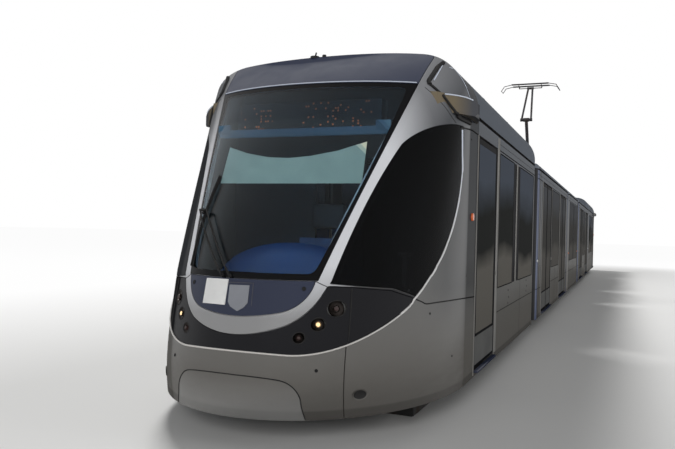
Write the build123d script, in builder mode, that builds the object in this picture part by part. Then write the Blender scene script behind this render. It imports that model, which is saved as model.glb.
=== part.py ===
"""Five-section low-floor articulated tram, double-ended, with its pantograph raised.

Millimetres.  +Z is up, the front cab points to -Y and +X is the side on the driver's left.
The origin is on the floor that the wheel flanges stand on, under the middle of the tram.
The rear half of the tram is the front half turned half a turn about Z.
"""
import os
from math import cos, radians, sin

from build123d import *

# ---------------------------------------------------------------- driving dimensions
WIDTH = 2650
CENTRE_LENGTH = 4080          # between the two middle articulations
LINK_LENGTH = 7000            # between the articulations of one link section
CAB_LENGTH = 7160             # from the outer articulation to the tip of the nose
HALF_GAP = 178                # end frame to articulation plane
END_RADIUS = 150              # rounded upright edges at the end frames
WALL = 60                     # body side thickness
WALL_END_SEAM = 0.5           # between a side wall and its end frame

FLANGE_DEPTH = 27             # flange below the rail head
SKIRT_BOTTOM = 227
FLOOR_TOP = 377
FLOOR_THICKNESS = 80
AISLE_TOP = 507               # floor between the wheel boxes
WHEEL_BOX_ROOM = 16           # over the wheel flanges
WHEEL_BOX_PLATE = 40
SILL = 1007
DOOR_BOTTOM = 297
DOOR_TOP = 2557
WALL_TOP = 2705
ROOF_EDGE = 2730              # above the dark drip channel
CHANNEL_DEPTH = 15
CEILING = 50                  # under the hollow roof of a cab section
CROWN = 3297                  # middle of the cab section's roof
LINK_CROWN = 2830             # middle of the plain roofs

# ---------------------------------------------------------------- nose
SHELL_LENGTH = 2300           # nose tip to the back of the cab shell
SHOULDER = 1930               # nose tip to where the nose meets the straight sides
SKIN = 20                     # outer panels and glass
SHELL = 45                    # cab shell, skin and backing together
PANEL_SEAT = 0.3              # panel back to shell backing
PANEL_GAP = 6                 # seam round a panel
# height, setback of the nose line from the tip, wall factor for its slope
NOSE_BAND = [(227, 25, 1.0), (587, 0, 1.0), (877, 55, 1.0), (1227, 152, 1.1)]
SCREEN_BAND = [(1227, 152, 1.1), (2060, 590, 1.18), (2891, 1165, 1.5)]
VISOR_BAND = [(2891, 1165, 1.5), (3100, 1440, 1.8), (3300, 1800, 1.8)]
ROOF_SIDE_RADIUS = 480
ROOF_SIDE_START = 2760
ROOF_SIDE_TURN = 83           # degrees of arc before the crown

# ---------------------------------------------------------------- openings and seats
CAB_DOOR = (2314, 3381)       # from the nose tip
CAB_WINDOWS = [(3572, 4679), (5202, 6700)]
WINDOW_TOP = 2530
LINK_DOOR_OFFSET = 1750
LINK_DOOR_WIDTH = 1600
LINK_POST = 140               # wall between a double door and the window
CENTRE_WINDOW_WIDTH = 1420
CENTRE_WINDOW_OFFSET = 800
WINDOW_RADIUS = 30
GLASS = 20
GLASS_FIT = 0.5
LEAF = 45
LEAF_BORDER = 70
LEAF_GAP = 5
LEAF_SEAT = 0.8
LEAF_GLASS_BOTTOM = 640
SEAT_PAIR_WIDTH = 870
SEAT_WALL_GAP = 15
SEAT_BACK_SPACING = 80        # between two backs that stand back to back
SEAT_BAY = 1250               # back to back plane across the wheel boxes
SEAT_HEIGHT_LOW = 450         # cushion above a low floor
SEAT_HEIGHT_BOX = 225         # cushion above a wheel box

# ---------------------------------------------------------------- running gear
BOGIE_CENTRE = 11200          # from the middle of the tram
WHEELBASE = 1600
WHEEL_RADIUS = 295
WHEEL_BACK_TO_BACK = 1380
TYRE_WIDTH = 125
FLANGE_WIDTH = 32
AXLE_RADIUS = 60
JOURNAL_RADIUS = 50
JOURNAL_FIT = 0.05
BEAM_CENTRE = 955
BEAM_WIDTH = 110
BEAM_BELOW_AXLE = 72
BEAM_ABOVE_AXLE = 98
WHEEL_BOX_LENGTH = 2600
AISLE_HALF = 600
RAMP = 600

# ---------------------------------------------------------------- articulation
TURNTABLE_RADIUS = 850
TURNTABLE_GAP = 7
TURNTABLE_THICKNESS = 40
PIVOT_RADIUS = 50
PIVOT_FIT = 0.5
ARM_HALF = 200
GANGWAY_HALF = 1040
GANGWAY_TOP = 2500
BELLOWS = 60
BELLOWS_SEAT = 0.3

# ---------------------------------------------------------------- pantograph, in the y-z plane
PAN_PIVOT = (500, 3527)
KNEE = (-340, 4927)
HEAD_PIVOT = (420, 5982)
ARM_TUBE = 45
UPPER_TUBE = 28
STRIP_LENGTH = 1050
HEAD_WIDTH = 1640

# ---------------------------------------------------------------- worked out
HALF = WIDTH / 2
FACE = HALF - WALL
JOINT_INNER = CENTRE_LENGTH / 2
JOINT_OUTER = JOINT_INNER + LINK_LENGTH
NOSE_TIP = -(JOINT_OUTER + CAB_LENGTH)
AXLE_HEIGHT = WHEEL_RADIUS + FLANGE_DEPTH
WHEEL_BOX_TOP = 2 * AXLE_HEIGHT + WHEEL_BOX_ROOM + WHEEL_BOX_PLATE
BEAM_BOTTOM, BEAM_TOP = AXLE_HEIGHT - BEAM_BELOW_AXLE, AXLE_HEIGHT + BEAM_ABOVE_AXLE
LINK_WINDOW_WIDTH = 2 * (LINK_DOOR_OFFSET - LINK_POST) - LINK_DOOR_WIDTH
FLOOR_BOTTOM = FLOOR_TOP - FLOOR_THICKNESS


def from_nose(distance):
    """Y of a point that far behind the tip of the front nose."""
    return NOSE_TIP + distance


def across(y):
    """Plane across the tram at y, local x to +X and local y up."""
    return Plane((0, y, 0), x_dir=(1, 0, 0), z_dir=(0, -1, 0))


def turned(part):
    """The same piece at the other end of the tram."""
    with BuildPart() as other:
        add(part, rotation=(0, 0, 180))
    return other.part


def save(part, name):
    part.label = name
    export_step(part, f"parts/{name}.step")


def block(x_span, y_span, z_span, mode=Mode.ADD):
    """Box between two values along each axis, added to the part being built."""
    size = [high - low for low, high in (x_span, y_span, z_span)]
    middle = [(high + low) / 2 for low, high in (x_span, y_span, z_span)]
    with Locations(tuple(middle)):
        Box(*size, mode=mode)


def both_sides(x_span):
    """The span and its mirror image."""
    low, high = x_span
    return [(low, high), (-high, -low)]


# ---------------------------------------------------------------- nose surfaces
def roof_arch(inset, bottom):
    """Arched cross-section of the cab section, drawn in the current sketch."""
    radius = ROOF_SIDE_RADIUS - inset
    centre_x = HALF - ROOF_SIDE_RADIUS
    middle, end = radians(45), radians(ROOF_SIDE_TURN)
    side = (HALF - inset, ROOF_SIDE_START)
    bend = (centre_x + radius * cos(middle), ROOF_SIDE_START + radius * sin(middle))
    top = (centre_x + radius * cos(end), ROOF_SIDE_START + radius * sin(end))
    with BuildLine() as edge_line:
        Polyline((-side[0], side[1]), (-side[0], bottom), (side[0], bottom), side)
        ThreePointArc(side, bend, top)
        ThreePointArc(top, (0, CROWN - inset), (-top[0], top[1]))
        ThreePointArc((-top[0], top[1]), (-bend[0], bend[1]), (-side[0], side[1]))
    make_face(edge_line.edges())


def cab_form(inset, length=SHELL_LENGTH):
    """Solid nose with its surface set in, from the tip back to the given length."""
    with BuildPart() as form:
        for band in (NOSE_BAND, SCREEN_BAND, VISOR_BAND):
            for height, setback, factor in band:
                depth = SHOULDER - setback - inset * factor
                middle = from_nose(SHOULDER)
                rear = from_nose(length)
                half = HALF - inset
                with BuildSketch(Plane.XY.offset(height)):
                    with BuildLine():
                        EllipticalCenterArc((0, middle), half, depth, start_angle=180, arc_size=180)
                        Polyline((half, middle), (half, rear), (-half, rear), (-half, middle))
                    make_face()
            loft()
        with BuildSketch(across(NOSE_TIP - 100)):
            roof_arch(inset, 0)
        extrude(amount=length + 200, dir=(0, 1, 0), mode=Mode.INTERSECT)
    return form.part


def screen_outline():
    with BuildLine() as edge_line:
        Polyline((-556, 1229), (556, 1229), (965, 2885), (-965, 2885), close=True)
    make_face(edge_line.edges())


def visor_outline():
    with BuildLine() as edge_line:
        Polyline((-966, 2891), (966, 2891), (1017, 3172), (1017, 3400),
                 (-1017, 3400), (-1017, 3172), close=True)
    make_face(edge_line.edges())


def centre_panel_outline():
    with BuildLine() as edge_line:
        Line((-540, 1223), (540, 1223))
        ThreePointArc((540, 1223), (455, 1057), (330, 993))
        ThreePointArc((330, 993), (0, 957), (-330, 993))
        ThreePointArc((-330, 993), (-455, 1057), (-540, 1223))
    make_face(edge_line.edges())


def lamp_band_outline():
    with BuildLine() as edge_line:
        ThreePointArc((-397, 904), (0, 822), (397, 904))
        ThreePointArc((397, 904), (520, 1000), (606, 1140))
        Polyline((606, 1140), (626, 1184), (766, 1180), (992, 1150), (1100, 1092), (1112, 1062))
        ThreePointArc((1112, 1062), (784, 775), (420, 703))
        ThreePointArc((420, 703), (0, 717), (-420, 703))
        ThreePointArc((-420, 703), (-784, 775), (-1112, 1062))
        Polyline((-1112, 1062), (-1100, 1092), (-992, 1150), (-766, 1180), (-626, 1184), (-606, 1140))
        ThreePointArc((-606, 1140), (-520, 1000), (-397, 904))
    make_face(edge_line.edges())


def bumper_outline():
    with BuildLine() as edge_line:
        Polyline((-768, 762), (-768, 200), (768, 200), (768, 762))
        ThreePointArc((768, 762), (600, 711), (420, 696))
        ThreePointArc((420, 696), (0, 710), (-420, 696))
        ThreePointArc((-420, 696), (-600, 711), (-768, 762))
    make_face(edge_line.edges())


def cab_window_outline():
    """Side window of the cab, local x is the distance behind the nose tip."""
    with BuildLine() as edge_line:
        ThreePointArc((372, 1208), (764, 1866), (1103, 2326))
        ThreePointArc((1103, 2326), (1375, 2503), (1742, 2553))
        ThreePointArc((1742, 2553), (1679, 2027), (1439, 1518))
        Polyline((1439, 1518), (981, 1096), (771, 1168), (503, 1192), (372, 1208))
    make_face(edge_line.edges())


def front_prism(outline, depth, grow=0):
    """An outline on the front, run back through the nose to the given depth."""
    with BuildPart() as prism:
        with BuildSketch(across(NOSE_TIP - 100)):
            outline()
            if grow:
                offset(amount=grow, kind=Kind.ARC)
        extrude(amount=depth + 100, dir=(0, 1, 0))
    return prism.part


def side_prism(outline, grow=0):
    """An outline on the side, run through both sides of the nose."""
    with BuildPart() as prism:
        with BuildSketch(Plane((0, NOSE_TIP, 0), x_dir=(0, 1, 0), z_dir=(1, 0, 0))):
            outline()
            if grow:
                offset(amount=grow, kind=Kind.ARC)
        extrude(amount=WIDTH, both=True)
    return prism.part


# name: outline, how deep it runs, width of the ledge that carries a pane (0 for a panel)
FRONT_PANELS = {
    "screen": (screen_outline, 2250, 40),
    "visor": (visor_outline, SHELL_LENGTH + 100, 0),
    "centre": (centre_panel_outline, 900, 0),
    "lamps": (lamp_band_outline, 1100, 0),
    "bumper": (bumper_outline, 800, 0),
}
# x, z and radius of each lamp on one side
LAMPS = [(484, 819, 42), (595, 914, 50), (693, 1027, 62)]
LAMP_FIT = 0.5

OUTER = cab_form(0)
SKIN_BACK = cab_form(SKIN - PANEL_SEAT, SHELL_LENGTH + 10)
BACKING = cab_form(SKIN)
INNER = cab_form(SHELL, SHELL_LENGTH + 10)


def skin_piece(*prisms):
    """The part of the outer skin that lies inside the prisms."""
    with BuildPart() as piece:
        add(OUTER)
        add(SKIN_BACK, mode=Mode.SUBTRACT)
        for prism in prisms:
            add(prism, mode=Mode.INTERSECT)
    return piece.part


def recess(pocket):
    """A pocket no deeper than the skin, so that the backing stays."""
    with BuildPart() as shallow:
        add(pocket)
        add(BACKING, mode=Mode.SUBTRACT)
    return shallow.part


def cab_shell():
    """Structural cab shell: pockets for the outer panels, openings for the panes."""
    pockets = [front_prism(outline, depth, PANEL_GAP) for outline, depth, _ in FRONT_PANELS.values()]
    pockets.append(side_prism(cab_window_outline, PANEL_GAP))
    openings = [front_prism(outline, depth, -ledge) for outline, depth, ledge in FRONT_PANELS.values()
                if ledge]
    openings.append(side_prism(cab_window_outline, -40))
    with BuildPart() as shell:
        add(OUTER)
        add(INNER, mode=Mode.SUBTRACT)
        for pocket in pockets:
            add(recess(pocket), mode=Mode.SUBTRACT)
        for opening in openings:
            add(opening, mode=Mode.SUBTRACT)
    return shell.part


def lamp_cylinders(extra):
    with BuildPart() as lamps:
        for x, z, radius in LAMPS:
            with BuildSketch(across(NOSE_TIP - 100)):
                with Locations((x, z), (-x, z)):
                    Circle(radius + extra)
        extrude(amount=1000, dir=(0, 1, 0))
    return lamps.part


def nose_panels():
    """Dark panel under the windscreen and the dark band that holds the lamps."""
    centre, centre_depth, _ = FRONT_PANELS["centre"]
    band, band_depth, _ = FRONT_PANELS["lamps"]
    with BuildPart() as panels:
        add(skin_piece(front_prism(centre, centre_depth)))
        add(skin_piece(front_prism(band, band_depth)))
        add(lamp_cylinders(LAMP_FIT), mode=Mode.SUBTRACT)
    return panels.part


# ---------------------------------------------------------------- body sections
def end_plan(y_end, inward, inset, half=HALF):
    """Plan of a section's last stretch with its rounded upright edges, in the current sketch.

    inward is +1 where the section runs to +Y from its end, -1 where it runs to -Y."""
    radius = END_RADIUS - inset
    edge = y_end + inward * inset
    side = half - inset
    back = y_end + inward * END_RADIUS
    turn = radius * (1 - cos(radians(45)))
    with BuildLine() as edge_line:
        Polyline((side, back), (-side, back))
        ThreePointArc((-side, back), (-side + turn, edge + inward * turn), (-side + radius, edge))
        Line((-side + radius, edge), (side - radius, edge))
        ThreePointArc((side - radius, edge), (side - turn, edge + inward * turn), (side, back))
    make_face(edge_line.edges())


def end_frame(y_end, inward):
    """Portal that closes a section round its gangway."""
    with BuildPart() as frame:
        with BuildSketch(Plane.XY.offset(SKIRT_BOTTOM)):
            end_plan(y_end, inward, 0)
        extrude(amount=WALL_TOP - SKIRT_BOTTOM)
        with BuildSketch(Plane.XY.offset(SKIRT_BOTTOM)):
            end_plan(y_end, inward, WALL)
        extrude(amount=WALL_TOP - SKIRT_BOTTOM, mode=Mode.SUBTRACT)
        low, high = sorted((y_end - inward, y_end + inward * (END_RADIUS + 1)))
        block((-GANGWAY_HALF, GANGWAY_HALF), (low, high), (0, GANGWAY_TOP), Mode.SUBTRACT)
    return frame.part


def side_walls(y_span, ends, openings):
    """Both side walls between the end frames, and the frames.

    ends is a list of (y of the end, inward direction); openings has (y_low, y_high, z_low, z_high)."""
    low, high = y_span
    with BuildPart() as walls:
        for x_span in both_sides((FACE, HALF)):
            block(x_span, (low, high), (SKIRT_BOTTOM, WALL_TOP))
        for y_low, y_high, z_low, z_high in openings:
            for x_span in both_sides((FACE - 1, HALF + 1)):
                block(x_span, (y_low, y_high), (z_low, z_high), Mode.SUBTRACT)
        for y_end, inward in ends:
            add(end_frame(y_end, inward))
    return walls.part


def pane(y_span, z_span):
    """A flush pane on each side, in an opening of the given size."""
    for x_span in both_sides((HALF - GLASS, HALF)):
        block(x_span, (y_span[0] + GLASS_FIT, y_span[1] - GLASS_FIT),
              (z_span[0] + GLASS_FIT, z_span[1] - GLASS_FIT))


def leaf_spans(y_span, leaves):
    """Spans of the door leaves that fill an opening."""
    low, high = y_span[0] + LEAF_GAP, y_span[1] - LEAF_GAP
    width = (high - low - LEAF_GAP * (leaves - 1)) / leaves
    return [(low + i * (width + LEAF_GAP), low + i * (width + LEAF_GAP) + width) for i in range(leaves)]


def glass_span(leaf):
    return leaf[0] + LEAF_BORDER, leaf[1] - LEAF_BORDER


def doors(openings):
    """Door leaves on both sides; openings has (y_low, y_high, number of leaves)."""
    with BuildPart() as leaves:
        for y_low, y_high, count in openings:
            for leaf in leaf_spans((y_low, y_high), count):
                for x_span in both_sides((HALF - LEAF, HALF)):
                    block(x_span, leaf, (DOOR_BOTTOM + LEAF_SEAT, DOOR_TOP - LEAF_GAP))
                    block(x_span, glass_span(leaf), (LEAF_GLASS_BOTTOM, DOOR_TOP - LEAF_BORDER),
                          Mode.SUBTRACT)
    return leaves.part


def panes(windows, door_openings):
    """Saloon windows and the glass of the door leaves."""
    with BuildPart() as glass:
        for y_span in windows:
            pane(y_span, (SILL, WINDOW_TOP))
        for y_low, y_high, count in door_openings:
            for leaf in leaf_spans((y_low, y_high), count):
                pane(glass_span(leaf), (LEAF_GLASS_BOTTOM, DOOR_TOP - LEAF_BORDER))
    return glass.part


def wall_openings(windows, door_openings):
    cuts = [(low, high, SILL, WINDOW_TOP) for low, high in windows]
    return cuts + [(low, high, DOOR_BOTTOM, DOOR_TOP) for low, high, _ in door_openings]


def corner_waste(y_end, inward, z_low, z_high):
    """What is cut from a section's corners to give them the rounded plan of its end frame."""
    with BuildPart() as corner:
        low, high = sorted((y_end - inward * 10, y_end + inward * END_RADIUS))
        block((-HALF - 10, HALF + 10), (low, high), (z_low, z_high))
        with BuildSketch(Plane.XY.offset(z_low)):
            end_plan(y_end, inward, 0)
        extrude(amount=z_high - z_low, mode=Mode.SUBTRACT)
    return corner.part


def plain_roof_section():
    """Low roof with a dark channel along its edge, in the current sketch."""
    inner = HALF - CHANNEL_DEPTH
    edge_top = ROOF_EDGE + 20
    with BuildLine() as edge_line:
        Polyline((-HALF, edge_top), (-HALF, ROOF_EDGE), (-inner, ROOF_EDGE), (-inner, WALL_TOP),
                 (inner, WALL_TOP), (inner, ROOF_EDGE), (HALF, ROOF_EDGE), (HALF, edge_top))
        ThreePointArc((HALF, edge_top), (HALF - 18, edge_top + 38), (HALF - 60, LINK_CROWN - 25))
        ThreePointArc((HALF - 60, LINK_CROWN - 25), (0, LINK_CROWN), (-HALF + 60, LINK_CROWN - 25))
        ThreePointArc((-HALF + 60, LINK_CROWN - 25), (-HALF + 18, edge_top + 38), (-HALF, edge_top))
    make_face(edge_line.edges())


EQUIPMENT_HALF = 780
EQUIPMENT_HEIGHT = 270
EQUIPMENT_SEAT = 0.5


def plain_roof(y_span, ends, cases):
    """Flat roof with equipment cases; cases has (y_low, y_high)."""
    with BuildPart() as roof:
        with BuildSketch(across(y_span[0])):
            plain_roof_section()
        extrude(amount=y_span[1] - y_span[0], dir=(0, 1, 0))
        for y_end, inward in ends:
            add(corner_waste(y_end, inward, WALL_TOP - 1, LINK_CROWN + 1), mode=Mode.SUBTRACT)
        for case in cases:
            bottom = LINK_CROWN + EQUIPMENT_SEAT
            block((-EQUIPMENT_HALF, EQUIPMENT_HALF), case, (bottom, bottom + EQUIPMENT_HEIGHT))
    return roof.part


# plan of one camera housing, offset from the body side and distance behind the nose tip, and its
# cross-section, offset from the body side and z
POD_PLAN = [(-275, 1440), (-195, 1462), (-150, 1526), (95, 1774), (97, 1830), (60, 2000), (-15, 2290),
            (-275, 2290)]
POD_SECTION = [(-275, 2650), (-65, 2660), (75, 2648), (95, 2672), (95, 2758), (75, 2780), (-5, 2812),
               (-160, 2824), (-275, 2830)]


def camera_pods():
    """Rear-view camera housings on the roof sides, wedges that widen towards the back."""
    pods = Part()
    for side in (1, -1):
        with BuildPart() as pod:
            with BuildSketch(Plane.XY.offset(POD_SECTION[0][1] - 20)) as plan:
                with BuildLine() as plan_edge:
                    Polyline(*[(side * (HALF + x), from_nose(s)) for x, s in POD_PLAN], close=True)
                make_face(plan_edge.edges())
            extrude(amount=POD_SECTION[-1][1] - POD_SECTION[0][1] + 40)
            with BuildSketch(across(from_nose(POD_PLAN[0][1] - 10))) as section:
                with BuildLine() as section_edge:
                    Polyline(*[(side * (HALF + x), z) for x, z in POD_SECTION], close=True)
                make_face(section_edge.edges())
            extrude(amount=POD_PLAN[-1][1] - POD_PLAN[0][1] + 20, dir=(0, 1, 0), mode=Mode.INTERSECT)
            add(cab_form(-PANEL_SEAT, SHELL_LENGTH + 400), mode=Mode.SUBTRACT)
        pods += pod.part
    return pods


def cab_roof():
    """Arched roof of the cab section, visor and camera pods."""
    y_end = -JOINT_OUTER - HALF_GAP
    start = from_nose(SHELL_LENGTH) + WALL_END_SEAM
    inner = HALF - CHANNEL_DEPTH
    visor, visor_depth, _ = FRONT_PANELS["visor"]
    with BuildPart() as roof:
        with BuildSketch(across(start)):
            roof_arch(0, ROOF_EDGE)
            with Locations((0, (WALL_TOP + ROOF_EDGE) / 2)):
                Rectangle(2 * inner, ROOF_EDGE - WALL_TOP)
        extrude(amount=y_end - start, dir=(0, 1, 0))
        with BuildSketch(across(start)):
            roof_arch(WALL, WALL_TOP + CEILING)
        extrude(amount=y_end - start - WALL, dir=(0, 1, 0), mode=Mode.SUBTRACT)
        add(corner_waste(y_end, -1, WALL_TOP - 1, CROWN + 1), mode=Mode.SUBTRACT)
        add(skin_piece(front_prism(visor, visor_depth)))
        add(camera_pods())
    return roof.part


# ---------------------------------------------------------------- floors and articulations
def turntable(joint, outward):
    """Round floor plate of the section that carries it.

    outward points from the carrying section across the articulation."""
    with BuildPart() as plate:
        with Locations((0, joint, FLOOR_TOP - TURNTABLE_THICKNESS / 2)):
            Cylinder(TURNTABLE_RADIUS, TURNTABLE_THICKNESS)
        y_back = joint - outward * (HALF_GAP + 10)
        block((-ARM_HALF, ARM_HALF), tuple(sorted((y_back, joint))),
              (FLOOR_TOP - TURNTABLE_THICKNESS, FLOOR_TOP))
        with Locations((0, joint, FLOOR_TOP - TURNTABLE_THICKNESS)):
            Cylinder(PIVOT_RADIUS + PIVOT_FIT, 2 * (TURNTABLE_THICKNESS - 12), mode=Mode.SUBTRACT)
    return plate.part


def pivot_arm(joint, outward):
    """Arm and pivot pin under the turntable, with room for the turntable in the floor."""
    clear_bottom = FLOOR_TOP - TURNTABLE_THICKNESS - TURNTABLE_GAP
    with Locations((0, joint, (clear_bottom + FLOOR_TOP + 50) / 2)):
        Cylinder(TURNTABLE_RADIUS + TURNTABLE_GAP, FLOOR_TOP + 50 - clear_bottom, mode=Mode.SUBTRACT)
    y_back = joint - outward * (HALF_GAP + 10)
    block((-ARM_HALF, ARM_HALF), tuple(sorted((y_back, joint + outward * 2 * PIVOT_RADIUS))),
          (SKIRT_BOTTOM + 13, clear_bottom))
    top = FLOOR_TOP - 17
    with Locations((0, joint, (clear_bottom + top) / 2 - 10)):
        Cylinder(PIVOT_RADIUS, top - clear_bottom + 20)


def low_floor(y_span):
    """Flat floor between the walls, in the current part."""
    block((-FACE + WALL_END_SEAM, FACE - WALL_END_SEAM), y_span, (FLOOR_BOTTOM, FLOOR_TOP))


def gangway_floor(y_end, inward):
    """Narrow stretch of floor through the end frame."""
    y_span = tuple(sorted((y_end, y_end + inward * (END_RADIUS + 1))))
    half = GANGWAY_HALF - WALL_END_SEAM
    block((-half, half), y_span, (FLOOR_BOTTOM, FLOOR_TOP))


def wheel_boxes(bogie):
    """Raised aisle and the boxes over the wheels, in the current part."""
    half_zone = WHEEL_BOX_LENGTH / 2
    flat = half_zone - RAMP
    rise = AISLE_TOP - FLOOR_TOP
    with BuildSketch(Plane((0, bogie, 0), x_dir=(0, 1, 0), z_dir=(1, 0, 0))) as aisle:
        with BuildLine():
            Polyline((-half_zone, FLOOR_TOP), (-flat, FLOOR_TOP + rise), (flat, FLOOR_TOP + rise),
                     (half_zone, FLOOR_TOP), (half_zone, FLOOR_BOTTOM), (flat, FLOOR_BOTTOM + rise),
                     (-flat, FLOOR_BOTTOM + rise), (-half_zone, FLOOR_BOTTOM), close=True)
        make_face()
    extrude(aisle.sketch, amount=AISLE_HALF, both=True)
    plate = WHEEL_BOX_PLATE
    y_span = (bogie - half_zone, bogie + half_zone)
    outer = FACE - WALL_END_SEAM
    for x_low, _ in both_sides((AISLE_HALF, AISLE_HALF + plate)):
        with BuildSketch(Plane((x_low, bogie, 0), x_dir=(0, 1, 0), z_dir=(1, 0, 0))) as cheek:
            with BuildLine():
                Polyline((-half_zone, FLOOR_BOTTOM), (-flat, FLOOR_BOTTOM + rise), (flat, FLOOR_BOTTOM + rise),
                         (half_zone, FLOOR_BOTTOM), (half_zone, WHEEL_BOX_TOP),
                         (-half_zone, WHEEL_BOX_TOP), close=True)
            make_face()
        extrude(cheek.sketch, amount=plate)
    for x_span in both_sides((AISLE_HALF, outer)):
        block(x_span, y_span, (WHEEL_BOX_TOP - plate, WHEEL_BOX_TOP))
        for y_low in (y_span[0], y_span[1] - plate):
            block(x_span, (y_low, y_low + plate), (FLOOR_BOTTOM, WHEEL_BOX_TOP))


def cab_floor():
    """Floor of the front cab section, from the nose to the outer articulation."""
    y_end = -JOINT_OUTER - HALF_GAP
    straight = y_end - END_RADIUS
    box_span = (-BOGIE_CENTRE - WHEEL_BOX_LENGTH / 2, -BOGIE_CENTRE + WHEEL_BOX_LENGTH / 2)
    rear_of_nose = from_nose(SHELL_LENGTH)
    with BuildPart() as floor:
        add(cab_form(SHELL + PANEL_SEAT))
        block((-WIDTH, WIDTH), (NOSE_TIP - 10, rear_of_nose + 10), (FLOOR_TOP, CROWN + 100), Mode.SUBTRACT)
        block((-WIDTH, WIDTH), (NOSE_TIP - 10, rear_of_nose + 10), (0, FLOOR_BOTTOM), Mode.SUBTRACT)
        low_floor((rear_of_nose - 1, box_span[0]))
        low_floor((box_span[1], straight))
        wheel_boxes(-BOGIE_CENTRE)
        gangway_floor(y_end, -1)
        add(turntable(-JOINT_OUTER, 1))
    return floor.part


def link_floor():
    """Floor of the front link section: pivot arm forward, turntable rearward."""
    front, rear = -JOINT_OUTER + HALF_GAP, -JOINT_INNER - HALF_GAP
    with BuildPart() as floor:
        low_floor((front + END_RADIUS, rear - END_RADIUS))
        gangway_floor(front, 1)
        gangway_floor(rear, -1)
        pivot_arm(-JOINT_OUTER, -1)
        add(turntable(-JOINT_INNER, 1))
    return floor.part


def centre_floor():
    """Floor of the centre section with its wheel boxes and two pivot arms."""
    end = JOINT_INNER - HALF_GAP
    straight = end - END_RADIUS
    half_zone = WHEEL_BOX_LENGTH / 2
    with BuildPart() as floor:
        for direction in (1, -1):
            low_floor(tuple(sorted((direction * half_zone, direction * straight))))
            gangway_floor(direction * end, -direction)
        wheel_boxes(0)
        for direction in (1, -1):
            pivot_arm(direction * JOINT_INNER, direction)
    return floor.part


def bellows(joints):
    """Concertina of each articulation, as a plain portal between the end frames."""
    outer, inner = GANGWAY_HALF + 10 + BELLOWS, GANGWAY_HALF + 10
    with BuildPart() as folds:
        for joint in joints:
            y_span = (joint - HALF_GAP + BELLOWS_SEAT, joint + HALF_GAP - BELLOWS_SEAT)
            block((-outer, outer), y_span, (SKIRT_BOTTOM + 30, GANGWAY_TOP + 10 + BELLOWS))
            block((-inner, inner), (y_span[0] - 1, y_span[1] + 1), (0, GANGWAY_TOP + 10), Mode.SUBTRACT)
    return folds.part


# ---------------------------------------------------------------- seats and cab interior
CUSHION_DEPTH = 440
CUSHION_THICKNESS = 60
BACK_THICKNESS = 45
BACK_HEIGHT = 700
BACK_LEAN = 90


def seat_row(y_back, facing, floor_z, height):
    """A pair of seats each side of the aisle; facing is +1 towards +Y."""
    top = floor_z + height
    outer = FACE - SEAT_WALL_GAP
    inner = outer - SEAT_PAIR_WIDTH
    plane = Plane((0, y_back, 0), x_dir=(0, facing, 0), z_dir=(facing, 0, 0))
    for x_low, x_high in both_sides((inner, outer)):
        start = x_low if facing > 0 else -x_high
        with BuildSketch(plane.offset(start)) as side:
            with BuildLine():
                Polyline((0, top + BACK_HEIGHT), (BACK_THICKNESS, top + BACK_HEIGHT),
                         (BACK_LEAN + BACK_THICKNESS, top), (BACK_LEAN + CUSHION_DEPTH, top + 15),
                         (BACK_LEAN + CUSHION_DEPTH, top - CUSHION_THICKNESS + 20),
                         (BACK_LEAN + 300, top - CUSHION_THICKNESS),
                         (BACK_LEAN + 240, floor_z + PANEL_SEAT), (60, floor_z + PANEL_SEAT),
                         (BACK_LEAN - 20, top - CUSHION_THICKNESS), close=True)
            make_face()
        extrude(side.sketch, amount=x_high - x_low)


def bogie_seats(bogie):
    """Facing seats over the wheel boxes, in the current part."""
    for side in (1, -1):
        seat_row(bogie + side * SEAT_BAY, -side, WHEEL_BOX_TOP, SEAT_HEIGHT_BOX)
        seat_row(bogie + side * SEAT_BACK_SPACING / 2, side, WHEEL_BOX_TOP, SEAT_HEIGHT_BOX)


DRIVER_SEAT = 1480            # behind the nose tip


def driver_seat():
    """Driver's chair on its pedestal, in the current part."""
    y = from_nose(DRIVER_SEAT)
    floor = FLOOR_TOP + PANEL_SEAT
    with Locations((0, y, floor + 160)):
        Cylinder(90, 320)
    block((-250, 250), (y - 240, y + 240), (floor + 300, floor + 430))
    block((-240, 240), (y + 170, y + 270), (floor + 420, floor + 1150))


def cab_seats():
    with BuildPart() as seats:
        bogie_seats(-BOGIE_CENTRE)
        driver_seat()
    return seats.part


def link_seats(middle):
    """Two rows back to back between the doors."""
    with BuildPart() as seats:
        for side in (1, -1):
            seat_row(middle + side * SEAT_BACK_SPACING / 2, side, FLOOR_TOP, SEAT_HEIGHT_LOW)
    return seats.part


def centre_seats():
    with BuildPart() as seats:
        bogie_seats(0)
    return seats.part


DESK_HALF = 560
PARTITION = (2180, 2220)      # behind the nose tip
PARTITION_DOOR_HALF = 320
PARTITION_DOOR_TOP = 2350


def partition(floor):
    """Wall behind the driver with its doorway, cut to the inside of the shell."""
    low, high = (from_nose(value) for value in PARTITION)
    with BuildPart() as wall:
        block((-WIDTH, WIDTH), (low, high), (floor, CROWN))
        add(cab_form(SHELL + PANEL_SEAT), mode=Mode.INTERSECT)
        block((-PARTITION_DOOR_HALF, PARTITION_DOOR_HALF), (low - 10, high + 10),
              (0, PARTITION_DOOR_TOP), Mode.SUBTRACT)
    return wall.part


def cab_interior():
    """Driver's desk and the partition behind the cab."""
    floor = FLOOR_TOP + PANEL_SEAT
    with BuildPart() as interior:
        with BuildSketch(Plane((-DESK_HALF, NOSE_TIP, 0), x_dir=(0, 1, 0), z_dir=(1, 0, 0))):
            with BuildLine():
                Polyline((500, floor), (500, 1090), (640, 1150), (960, 1030), (960, 950), (720, 900),
                         (720, floor), close=True)
            make_face()
        extrude(amount=2 * DESK_HALF)
        add(partition(floor))
    return interior.part


COUPLER_PIN_RADIUS = 25
COUPLER = dict(half=110, y=(150, 650), pin=530, z=(236, FLOOR_BOTTOM - PANEL_SEAT))


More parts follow.
